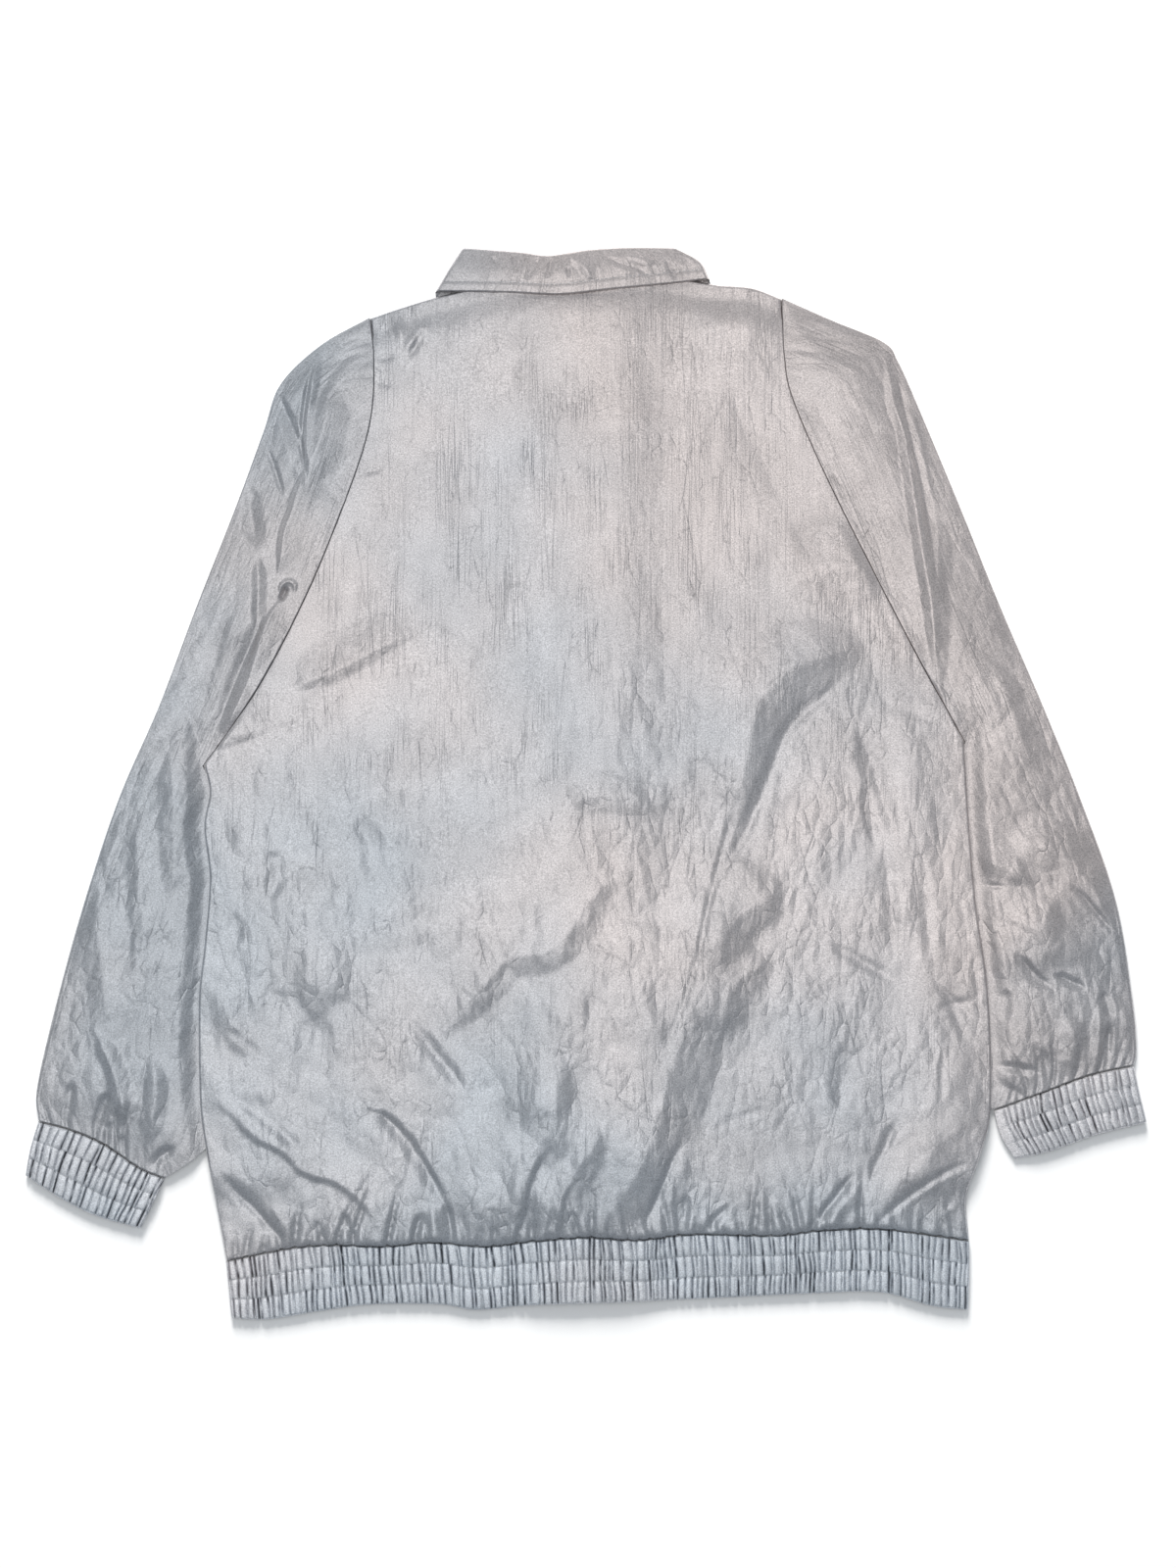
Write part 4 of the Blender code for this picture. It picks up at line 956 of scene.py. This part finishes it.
def cuff_rows():
    """Name and four edges of each cuff."""
    return (("cuff_left", LEFT_CUFF_SEAM, LEFT_CUFF_HEM,
             spots((-403, -248), (-409, -268), (-412.5, -288)),
             spots((-310, -290), (-318, -307), (-328, -327))),
            ("cuff_right", RIGHT_CUFF_SEAM[::-1], RIGHT_CUFF_HEM[::-1],
             spots((403, -207), (407, -226), (412.5, -249)),
             spots((300, -240), (305, -258), (316, -276))))


def add_node(tree, kind, label, links=(), **values):
    """Shader node with plain input values, and links given as (input, output socket)."""
    node = tree.nodes.new(kind)
    node.label = label
    for key, value in values.items():
        if hasattr(node, key) and key not in node.inputs:
            setattr(node, key, value)
        else:
            node.inputs[key].default_value = value
    for key, source in links:
        tree.links.new(source, node.inputs[key])
    return node


def shader_group(name, inputs, outputs):
    """Empty shader group with named sockets, and its two ends."""
    tree = bpy.data.node_groups.new(name, "ShaderNodeTree")
    for socket, kind, default in inputs:
        made = tree.interface.new_socket(name=socket, in_out="INPUT", socket_type=kind)
        if default is not None:
            made.default_value = default
    for socket, kind in outputs:
        tree.interface.new_socket(name=socket, in_out="OUTPUT", socket_type=kind)
    return tree, tree.nodes.new("NodeGroupInput"), tree.nodes.new("NodeGroupOutput")


def maths(tree, operation, first, second):
    """Math node between a socket and a socket or number."""
    node = tree.nodes.new("ShaderNodeMath")
    node.operation = operation
    for index, value in enumerate((first, second)):
        if isinstance(value, (int, float)):
            node.inputs[index].default_value = value
        else:
            tree.links.new(value, node.inputs[index])
    return node.outputs[0]


def ramp(tree, label, value, low, high, start=0.0, end=1.0):
    """Map range node from low and high to start and end."""
    node = add_node(tree, "ShaderNodeMapRange", label, [("Value", value)])
    for key, number in (("From Min", low), ("From Max", high), ("To Min", start), ("To Max", end)):
        node.inputs[key].default_value = number
    return node.outputs[0]


def texture_noise(tree, label, vector, scale, detail, stretch=(1.0, 1.0, 1.0)):
    """Noise value on a stretched vector."""
    way = add_node(tree, "ShaderNodeMapping", label, [("Vector", vector)], Scale=stretch)
    node = add_node(tree, "ShaderNodeTexNoise", label, [("Vector", way.outputs[0])],
                    Scale=scale, Detail=detail, Roughness=0.55)
    return node.outputs[0]


def crinkle_group():
    """Height of fine warp crinkles, crumple, sharp creases and weave grain, in metres, and a mask of the
    crease lines that the tint darkens as painted shade.
    """
    tree = bpy.data.node_groups.get("cloth_crinkle")
    if tree:
        return tree
    tree, start, end = shader_group(
        "cloth_crinkle",
        [("Vector", "NodeSocketVector", None), ("Lower", "NodeSocketFloat", 0.0),
         ("Warp", "NodeSocketFloat", 0.0004), ("Crumple", "NodeSocketFloat", 0.0014),
         ("Crease", "NodeSocketFloat", 0.0002), ("Grain", "NodeSocketFloat", 0.0001)],
        [("Height", "NodeSocketFloat"), ("Mask", "NodeSocketFloat")])
    cut, lower = start.outputs["Vector"], start.outputs["Lower"]
    warp = texture_noise(tree, "Warp crinkle", cut, 380.0, 1.5, (1.0, 0.045, 1.0))
    pucker = texture_noise(tree, "Weft pucker", cut, 560.0, 2.0, (0.35, 1.0, 1.0))
    ribs = maths(tree, "ADD", warp, maths(tree, "MULTIPLY", pucker, 0.5))
    ribs = maths(tree, "MULTIPLY", ribs, ramp(tree, "Warp strength", lower, 0.0, 1.0, 1.0, 0.25))
    ribs = maths(tree, "MULTIPLY", ribs, start.outputs["Warp"])
    sway = add_node(tree, "ShaderNodeTexNoise", "Sway", [("Vector", cut)], Scale=26.0, Detail=2.0)
    bent = add_node(tree, "ShaderNodeVectorMath", "Sway", [(0, sway.outputs[1]), (2, cut)],
                    operation="MULTIPLY_ADD")
    bent.inputs[1].default_value = (0.006, 0.012, 0.0)
    heights, creased = [], []
    for label, turn, squash, scale in (("Long facets", 0.15, 0.35, 62.0),
                                       ("Short facets", -0.5, 0.6, 120.0),
                                       ("Slanted facets", 0.7, 0.3, 44.0)):
        way = add_node(tree, "ShaderNodeMapping", label, [("Vector", bent.outputs[0])],
                       Rotation=(0.0, 0.0, turn), Scale=(1.0, squash, 1.0))
        cells = add_node(tree, "ShaderNodeTexVoronoi", label, [("Vector", way.outputs[0])],
                         feature="DISTANCE_TO_EDGE", voronoi_dimensions="2D", Scale=scale)
        heights.append(maths(tree, "MULTIPLY", cells.outputs["Distance"], 62.0 / scale))
        line = ramp(tree, label, cells.outputs["Distance"], 0.0, scale * 0.0008, 1.0, 0.0)
        shown = texture_noise(tree, label, way.outputs[0], 0.8 * scale, 1.0)
        creased.append(maths(tree, "MULTIPLY", line, ramp(tree, label, shown, 0.54, 0.66)))
    for label, scale in (("Long warp lines", 150.0), ("Fine warp lines", 290.0)):
        wave = texture_noise(tree, label, cut, scale, 1.0, (1.0, 0.05, 1.0))
        off = maths(tree, "ABSOLUTE", maths(tree, "SUBTRACT", wave, 0.5), 0.0)
        line = ramp(tree, label, off, 0.0, 0.00012 * scale, 1.0, 0.0)
        shown = texture_noise(tree, label, cut, 45.0, 1.0, (1.0, 0.3, 1.0))
        line = maths(tree, "MULTIPLY", line, ramp(tree, label, shown, 0.4, 0.62))
        creased.append(maths(tree, "MULTIPLY", line, ramp(tree, label, lower, 0.0, 1.0, 1.0, 0.4)))
    broken = maths(tree, "ADD", heights[0], heights[1])
    crumpled = ramp(tree, "Crumple strength", lower, 0.0, 1.0, 0.35, 1.0)
    broken = maths(tree, "MULTIPLY", broken, crumpled)
    broken = maths(tree, "MULTIPLY", broken, start.outputs["Crumple"])
    folded = creased[0]
    for line in creased[1:]:
        folded = maths(tree, "ADD", folded, line)
    patches = texture_noise(tree, "Crinkle strength", cut, 17.0, 2.0)
    strength = ramp(tree, "Crinkle strength", patches, 0.38, 0.62, 0.35, 1.0)
    folded = maths(tree, "MULTIPLY", folded, strength)
    total = maths(tree, "MULTIPLY", maths(tree, "ADD", ribs, broken), strength)
    total = maths(tree, "SUBTRACT", total, maths(tree, "MULTIPLY", folded, start.outputs["Crease"]))
    grain = texture_noise(tree, "Weave grain", cut, 900.0, 2.0)
    total = maths(tree, "ADD", total, maths(tree, "MULTIPLY", grain, start.outputs["Grain"]))
    tree.links.new(total, end.inputs["Height"])
    tree.links.new(folded, end.inputs["Mask"])
    return tree


def tint_group():
    """Cloth colour that drifts between a cool and a warm tone over the jacket: a random drift plus a set
    gradient that paints shade to the left and warm sheen to the right, with yarn grain, painted shade in
    the creases and slits, and painted reflection patches.
    """
    tree = bpy.data.node_groups.get("cloth_tint")
    if tree:
        return tree
    tree, start, end = shader_group(
        "cloth_tint",
        [("Vector", "NodeSocketVector", None), ("Main", "NodeSocketColor", None),
         ("Cool", "NodeSocketColor", None), ("Warm", "NodeSocketColor", None),
         ("Mask", "NodeSocketFloat", 0.0)],
        [("Color", "NodeSocketColor")])
    broad = add_node(tree, "ShaderNodeTexNoise", "Broad drift", [("Vector", start.outputs["Vector"])],
                     Scale=4.6, Detail=2.0, Roughness=0.5)
    # Painted shade and sheen: the tone turns cooler and darker to the left and lower down, and warmer and
    # lighter to the right and higher up.
    axes = add_node(tree, "ShaderNodeSeparateXYZ", "Side", [("Vector", start.outputs["Vector"])])
    side = maths(tree, "MULTIPLY", axes.outputs["X"], 1.3)
    side = maths(tree, "ADD", side, maths(tree, "MULTIPLY", axes.outputs["Y"], 1.2))
    corner = maths(tree, "MULTIPLY", axes.outputs["Y"], 5.0)
    corner = maths(tree, "MULTIPLY", axes.outputs["X"], corner)
    side = maths(tree, "ADD", side, corner)
    drift = maths(tree, "ADD", maths(tree, "MULTIPLY", broad.outputs[0], 3.0), side)
    blend = add_node(tree, "ShaderNodeMix", "Cool to warm", data_type="RGBA")
    tree.links.new(ramp(tree, "Cool to warm", drift, 0.9, 2.1), blend.inputs["Factor"])
    tree.links.new(start.outputs["Cool"], blend.inputs[6])
    tree.links.new(start.outputs["Warm"], blend.inputs[7])
    both = add_node(tree, "ShaderNodeMix", "Main tone", data_type="RGBA")
    both.inputs["Factor"].default_value = 0.9
    tree.links.new(start.outputs["Main"], both.inputs[6])
    tree.links.new(blend.outputs[2], both.inputs[7])
    grain = add_node(tree, "ShaderNodeTexNoise", "Yarn", [("Vector", start.outputs["Vector"])],
                     Scale=1000.0, Detail=1.0, Roughness=0.7)
    shade = maths(tree, "ADD", maths(tree, "MULTIPLY", grain.outputs[0], 1.2), 0.4)
    # Painted shade: the colour is darkened along the crinkle creases and in the slits of the gathers.
    painted_crease_and_slit_shade = maths(tree, "ADD", maths(tree, "MULTIPLY", start.outputs["Mask"], -0.12), 1.0)
    # Painted reflection: soft patches a few percent lighter and darker stand in for the satin's changing
    # sheen.
    sheen_noise = add_node(tree, "ShaderNodeTexNoise", "Satin clouds", [("Vector", start.outputs["Vector"])],
                     Scale=11.0, Detail=4.0, Roughness=0.6, Distortion=1.4)
    painted_reflection_patches = ramp(tree, "Satin clouds", sheen_noise.outputs[0], 0.44, 0.56, 0.95, 1.03)
    value = maths(tree, "MULTIPLY", maths(tree, "MULTIPLY", shade, painted_crease_and_slit_shade), painted_reflection_patches)
    hue = add_node(tree, "ShaderNodeHueSaturation", "Yarn and crinkle", [("Color", both.outputs[2])])
    tree.links.new(value, hue.inputs["Value"])
    tree.links.new(hue.outputs[0], end.inputs["Color"])
    return tree


def colour(value):
    """Property colour as a shader colour."""
    return (value[0], value[1], value[2], 1.0)


def new_material(name):
    """Material with nodes, and its node tree and surface shader."""
    material = bpy.data.materials.new(name)
    material.use_nodes = True
    return material, material.node_tree, material.node_tree.nodes["Principled BSDF"]


def cloth_material(name, warp, crumple, crease, roughness, main, lift):
    """Silvery crinkled nylon: crinkle heights in metres, roughness, main tone, and lightness of the cool
    and warm tones, which carry painted shade and sheen.
    """
    material = bpy.data.materials.get(name)
    if material:
        return material
    colours = settings("jacket_colours")
    material, tree, shader = new_material(name)
    spot = tree.nodes.new("ShaderNodeTexCoord")
    cut = tree.nodes.new("ShaderNodeUVMap")
    cut.uv_map = "cut"
    lines = tree.nodes.new("ShaderNodeGroup")
    lines.node_tree = crinkle_group()
    lines.inputs["Warp"].default_value = warp
    lines.inputs["Crumple"].default_value = crumple
    lines.inputs["Crease"].default_value = crease
    axes = add_node(tree, "ShaderNodeSeparateXYZ", "Height on the jacket",
                    [("Vector", spot.outputs["Object"])])
    lower = ramp(tree, "Height on the jacket", axes.outputs["Y"], 0.18, -0.06)
    tree.links.new(lower, lines.inputs["Lower"])
    tree.links.new(cut.outputs[0], lines.inputs["Vector"])
    tone = tree.nodes.new("ShaderNodeGroup")
    tone.node_tree = tint_group()
    tone.inputs["Main"].default_value = colour(main)
    tone.inputs["Cool"].default_value = colour([lift * part for part in colours.nylon_shaded_cool])
    tone.inputs["Warm"].default_value = colour([lift * part for part in colours.nylon_lit_warm])
    tree.links.new(spot.outputs["Object"], tone.inputs["Vector"])
    # Painted shade: the depth of the pinched slits darkens the colour, on top of the crease mask.
    slit_shade = add_node(tree, "ShaderNodeAttribute", "Slits of the gathers", attribute_name="slit_shade")
    deep = maths(tree, "MULTIPLY", slit_shade.outputs["Fac"], 1.7)
    tree.links.new(maths(tree, "ADD", lines.outputs["Mask"], deep), tone.inputs["Mask"])
    bump = add_node(tree, "ShaderNodeBump", "Crinkle", [("Height", lines.outputs["Height"])],
                    Strength=1.0, Distance=1.0)
    tree.links.new(tone.outputs["Color"], shader.inputs["Base Color"])
    tree.links.new(bump.outputs[0], shader.inputs["Normal"])
    shader.inputs["Roughness"].default_value = roughness
    shader.inputs["Metallic"].default_value = 0.8
    shader.inputs["Specular IOR Level"].default_value = 0.5
    return material


def nylon_cloth():
    """Nylon of the panels."""
    return cloth_material("nylon_cloth", 0.0003, 0.0012, 0.00012, 0.36,
                          settings("jacket_colours").nylon, 1.0)


def sleeve_cloth_shaded():
    """The same nylon of the sleeves and collar, cut on another grain, with its cool and warm tones a
    little darker as painted shade for the duller sleeves.
    """
    return cloth_material("sleeve_cloth_shaded", 0.0003, 0.0014, 0.00012, 0.38,
                          settings("jacket_colours").nylon, 0.93)


def elastic_cloth():
    """The same nylon, gathered over elastic."""
    return cloth_material("elastic_cloth", 0.0001, 0.0004, 0.00005, 0.40,
                          settings("jacket_colours").elastic, 1.32)


def thread():
    """Sewing thread in the cloth's own tone."""
    material, tree, shader = new_material("thread")
    spot = tree.nodes.new("ShaderNodeTexCoord")
    twist = add_node(tree, "ShaderNodeTexWave", "Twist", [("Vector", spot.outputs["Object"])],
                     Scale=900.0, Distortion=2.0)
    tone = add_node(tree, "ShaderNodeMix", "Twist tone", data_type="RGBA")
    tree.links.new(twist.outputs["Fac"], tone.inputs["Factor"])
    tone.inputs[6].default_value = colour(settings("jacket_colours").thread)
    tone.inputs[7].default_value = colour([0.75 * part for part in settings("jacket_colours").thread])
    tree.links.new(tone.outputs[2], shader.inputs["Base Color"])
    shader.inputs["Roughness"].default_value = 0.6
    return material


def snap_metal():
    """Brushed metal of the snap caps."""
    material, tree, shader = new_material("snap_cap_metal")
    spot = tree.nodes.new("ShaderNodeTexCoord")
    brushed = add_node(tree, "ShaderNodeMapping", "Brushing", [("Vector", spot.outputs["Object"])],
                       Scale=(1.0, 0.05, 1.0))
    lines = add_node(tree, "ShaderNodeTexNoise", "Brushing", [("Vector", brushed.outputs[0])],
                     Scale=4000.0, Detail=2.0)
    rough = ramp(tree, "Brushed roughness", lines.outputs[0], 0.0, 1.0, 0.25, 0.45)
    tree.links.new(rough, shader.inputs["Roughness"])
    shader.inputs["Base Color"].default_value = colour(settings("jacket_colours").metal)
    shader.inputs["Metallic"].default_value = 1.0
    return material


def floor_paper():
    """Matt pale paper under the jacket."""
    material, _, shader = new_material("floor_paper")
    shader.inputs["Base Color"].default_value = colour(settings("jacket_colours").floor)
    shader.inputs["Roughness"].default_value = 0.9
    shader.inputs["Specular IOR Level"].default_value = 0.1
    return material


def softbox(name, place_at, size, power, colour_of):
    """Rectangular studio light aimed at the jacket."""
    light = bpy.data.lights.new(name, "AREA")
    light.shape = "RECTANGLE"
    light.size, light.size_y = size
    light.energy = power
    light.color = colour_of
    item = bpy.data.objects.new(name, light)
    item.location = place_at
    item.rotation_euler = (-Vector(place_at)).to_track_quat("-Z", "Y").to_euler()
    bpy.context.collection.objects.link(item)
    return item


def make_stage():
    """Pale floor, soft light and the camera straight above."""
    scene = bpy.context.scene
    stage = settings("jacket_stage")
    mesh = bmesh.new()
    bmesh.ops.create_grid(mesh, x_segments=8, y_segments=8, size=FLOOR_HALF)
    bmesh.ops.translate(mesh, verts=mesh.verts[:], vec=(0, 0, -FLOOR_DROP))
    data = bpy.data.meshes.new("studio_floor")
    mesh.to_mesh(data)
    mesh.free()
    data.materials.append(floor_paper())
    floor = bpy.data.objects.new("studio_floor", data)
    scene.collection.objects.link(floor)
    world = bpy.data.worlds.new("studio")
    world.use_nodes = True
    background = world.node_tree.nodes["Background"]
    background.inputs["Color"].default_value = FILL_TINT
    background.inputs["Strength"].default_value = stage.fill
    scene.world = world
    softbox("key_softbox", KEY_PLACE, KEY_SIZE, stage.key, LAMP_WHITE)
    top = softbox("top_softbox", TOP_PLACE, TOP_SIZE, stage.top, LAMP_WHITE)
    top.visible_glossy = False
    camera = bpy.data.cameras.new("camera")
    camera.lens, camera.sensor_width = CAMERA_LENS, CAMERA_SENSOR
    item = bpy.data.objects.new("camera", camera)
    item.location = CAMERA_PLACE
    scene.collection.objects.link(item)
    scene.camera = item
    scene.view_settings.view_transform = "Standard"


class JacketSizes(bpy.types.PropertyGroup):
    """Sizes of the cloth and its details."""
    cell: FloatProperty(name="Cloth cell", description="Grid spacing of the large panels",
                        default=0.00203, min=0.001, unit="LENGTH")
    fine_cell: FloatProperty(name="Elastic cell", description="Grid spacing of the gathered elastic",
                             default=0.0007, min=0.0004, unit="LENGTH")
    body_puff: FloatProperty(name="Body fullness", description="Height of the back over the fronts",
                             default=0.004, unit="LENGTH")
    sleeve_puff: FloatProperty(name="Sleeve fullness", description="Height of a sleeve over its stack",
                               default=0.0045, unit="LENGTH")
    warp_rise: FloatProperty(name="Warp crinkle", description="Height of the crinkles along the warp",
                             default=0.00005, unit="LENGTH")
    crumple_rise: FloatProperty(name="Crumple", description="Height of the crumple in the cloth",
                                default=0.0007, unit="LENGTH")
    billow_rise: FloatProperty(name="Billow", description="Height of the broad soft waves in the cloth",
                               default=0.0013, unit="LENGTH")
    pleat_rise: FloatProperty(name="Band pleats", description="Height of the pleats at the gathered seams",
                              default=0.0025, unit="LENGTH")
    gather_gap: FloatProperty(name="Gather spacing", description="Usual distance between two gathers",
                              default=0.0043, unit="LENGTH")
    band_rise: FloatProperty(name="Band gather height", description="Height of the band's gathers",
                             default=0.0018, unit="LENGTH")
    cuff_rise: FloatProperty(name="Cuff gather height", description="Height of a cuff's gathers",
                             default=0.0021, unit="LENGTH")
    stitch: FloatProperty(name="Stitch", description="Length of one stitch",
                          default=0.0024, unit="LENGTH")
    thread: FloatProperty(name="Thread", description="Width of the sewing thread",
                          default=0.0004, unit="LENGTH")
    snap_radius: FloatProperty(name="Snap radius", description="Radius of a snap cap",
                               default=0.007, unit="LENGTH")
    snap_thick: FloatProperty(name="Snap thickness", description="Thickness of a snap cap",
                              default=0.0009, unit="LENGTH")


class JacketColours(bpy.types.PropertyGroup):
    """Colours of the cloth, thread, snaps and floor."""
    nylon: FloatVectorProperty(name="Nylon", description="Main tone of the cloth",
                               default=(0.52, 0.508, 0.525), size=3, subtype="COLOR")
    elastic: FloatVectorProperty(name="Elastic", description="Main tone of the gathered cloth",
                                 default=(0.62, 0.66, 0.70), size=3, subtype="COLOR")
    # Ends of the painted gradient: the darker cool tone is painted shade on the left, and the lighter warm
    # tone is painted sheen on the right.
    nylon_shaded_cool: FloatVectorProperty(name="Nylon, cool", description="Tone of the cloth to the left",
                                    default=(0.432, 0.458, 0.492), size=3, subtype="COLOR")
    nylon_lit_warm: FloatVectorProperty(name="Nylon, warm", description="Tone of the cloth to the right",
                                    default=(0.605, 0.545, 0.53), size=3, subtype="COLOR")
    thread: FloatVectorProperty(name="Thread", description="Sewing thread",
                                default=(0.30, 0.31, 0.33), size=3, subtype="COLOR")
    metal: FloatVectorProperty(name="Snap metal", description="Snap caps",
                               default=(0.55, 0.56, 0.58), size=3, subtype="COLOR")
    floor: FloatVectorProperty(name="Floor", description="Floor under the jacket",
                               default=(0.95, 0.95, 0.95), size=3, subtype="COLOR")


class JacketStage(bpy.types.PropertyGroup):
    """Strength of the studio lights."""
    key: FloatProperty(name="Key light", description="Power of the key softbox, in watts",
                       default=19.5, unit="POWER")
    top: FloatProperty(name="Top light", description="Power of the low softbox beyond the collar",
                       default=380.0, unit="POWER")
    fill: FloatProperty(name="Fill light", description="Strength of the light from all round",
                        default=0.4)


class JACKET_OT_back(bpy.types.Operator):
    """Makes the back panel"""
    bl_idname = "jacket.back"
    bl_label = "Back"

    def execute(self, context):
        make_back()
        return {"FINISHED"}


class JACKET_OT_fronts(bpy.types.Operator):
    """Makes both front panels"""
    bl_idname = "jacket.fronts"
    bl_label = "Fronts"

    def execute(self, context):
        make_front(-1)
        make_front(1)
        return {"FINISHED"}


class JACKET_OT_sleeves(bpy.types.Operator):
    """Makes both sleeves"""
    bl_idname = "jacket.sleeves"
    bl_label = "Sleeves"

    def execute(self, context):
        make_sleeve("sleeve_left", LEFT_ARMHOLE[::-1], LEFT_OUTER, LEFT_INNER, LEFT_CUFF_SEAM,
                    LEFT_SLEEVE_CREASES, LEFT_SLEEVE_SEED)
        make_sleeve("sleeve_right", RIGHT_ARMHOLE[::-1], RIGHT_OUTER, RIGHT_INNER,
                    RIGHT_CUFF_SEAM[::-1], RIGHT_SLEEVE_CREASES, RIGHT_SLEEVE_SEED)
        return {"FINISHED"}


class JACKET_OT_cuffs(bpy.types.Operator):
    """Makes both elastic cuffs"""
    bl_idname = "jacket.cuffs"
    bl_label = "Cuffs"

    def execute(self, context):
        left, right = cuff_rows()
        make_cuff(*left, LEFT_CUFF_WIDTH, LEFT_CUFF_PLAIN, LEFT_CUFF_SEED)
        make_cuff(*right, RIGHT_CUFF_WIDTH, RIGHT_CUFF_PLAIN, RIGHT_CUFF_SEED)
        return {"FINISHED"}


class JACKET_OT_waistband(bpy.types.Operator):
    """Makes the elastic waistband"""
    bl_idname = "jacket.waistband"
    bl_label = "Waistband"

    def execute(self, context):
        make_waistband()
        return {"FINISHED"}


class JACKET_OT_collar(bpy.types.Operator):
    """Makes the collar and its stand"""
    bl_idname = "jacket.collar"
    bl_label = "Collar"

    def execute(self, context):
        make_collar()
        make_stand()
        return {"FINISHED"}


class JACKET_OT_snaps(bpy.types.Operator):
    """Makes the snap caps"""
    bl_idname = "jacket.snaps"
    bl_label = "Snaps"

    def execute(self, context):
        make_snaps()
        return {"FINISHED"}


class JACKET_OT_stitching(bpy.types.Operator):
    """Sews the rows of stitches"""
    bl_idname = "jacket.stitching"
    bl_label = "Stitching"

    def execute(self, context):
        make_stitching()
        return {"FINISHED"}


class JACKET_OT_stage(bpy.types.Operator):
    """Sets the floor, the lights and the camera"""
    bl_idname = "jacket.stage"
    bl_label = "Stage"

    def execute(self, context):
        make_stage()
        return {"FINISHED"}


PIECES = (JACKET_OT_stage, JACKET_OT_back, JACKET_OT_fronts, JACKET_OT_sleeves, JACKET_OT_cuffs,
          JACKET_OT_waistband, JACKET_OT_collar, JACKET_OT_snaps, JACKET_OT_stitching)


class JACKET_PT_pieces(bpy.types.Panel):
    """Lists the jacket's sizes, colours and pieces"""
    bl_idname = "JACKET_PT_pieces"
    bl_label = "Jacket"
    bl_space_type = "VIEW_3D"
    bl_region_type = "UI"
    bl_category = "Jacket"

    def draw(self, context):
        for name in ("jacket_sizes", "jacket_colours", "jacket_stage"):
            group = getattr(context.scene, name)
            column = self.layout.column(align=True)
            for key in group.__annotations__:
                column.prop(group, key)
        for piece in PIECES:
            self.layout.operator(piece.bl_idname)


GROUPS = (JacketSizes, JacketColours, JacketStage)


def register():
    for item in GROUPS + PIECES + (JACKET_PT_pieces,):
        bpy.utils.register_class(item)
    bpy.types.Scene.jacket_sizes = PointerProperty(type=JacketSizes)
    bpy.types.Scene.jacket_colours = PointerProperty(type=JacketColours)
    bpy.types.Scene.jacket_stage = PointerProperty(type=JacketStage)


def unregister():
    del bpy.types.Scene.jacket_stage
    del bpy.types.Scene.jacket_colours
    del bpy.types.Scene.jacket_sizes
    for item in reversed(GROUPS + PIECES + (JACKET_PT_pieces,)):
        bpy.utils.unregister_class(item)


def main():
    register()
    bpy.ops.jacket.stage()
    bpy.ops.jacket.back()
    bpy.ops.jacket.fronts()
    bpy.ops.jacket.sleeves()
    bpy.ops.jacket.cuffs()
    bpy.ops.jacket.waistband()
    bpy.ops.jacket.collar()
    bpy.ops.jacket.snaps()
    bpy.ops.jacket.stitching()
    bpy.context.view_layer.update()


if __name__ == "__main__":
    main()
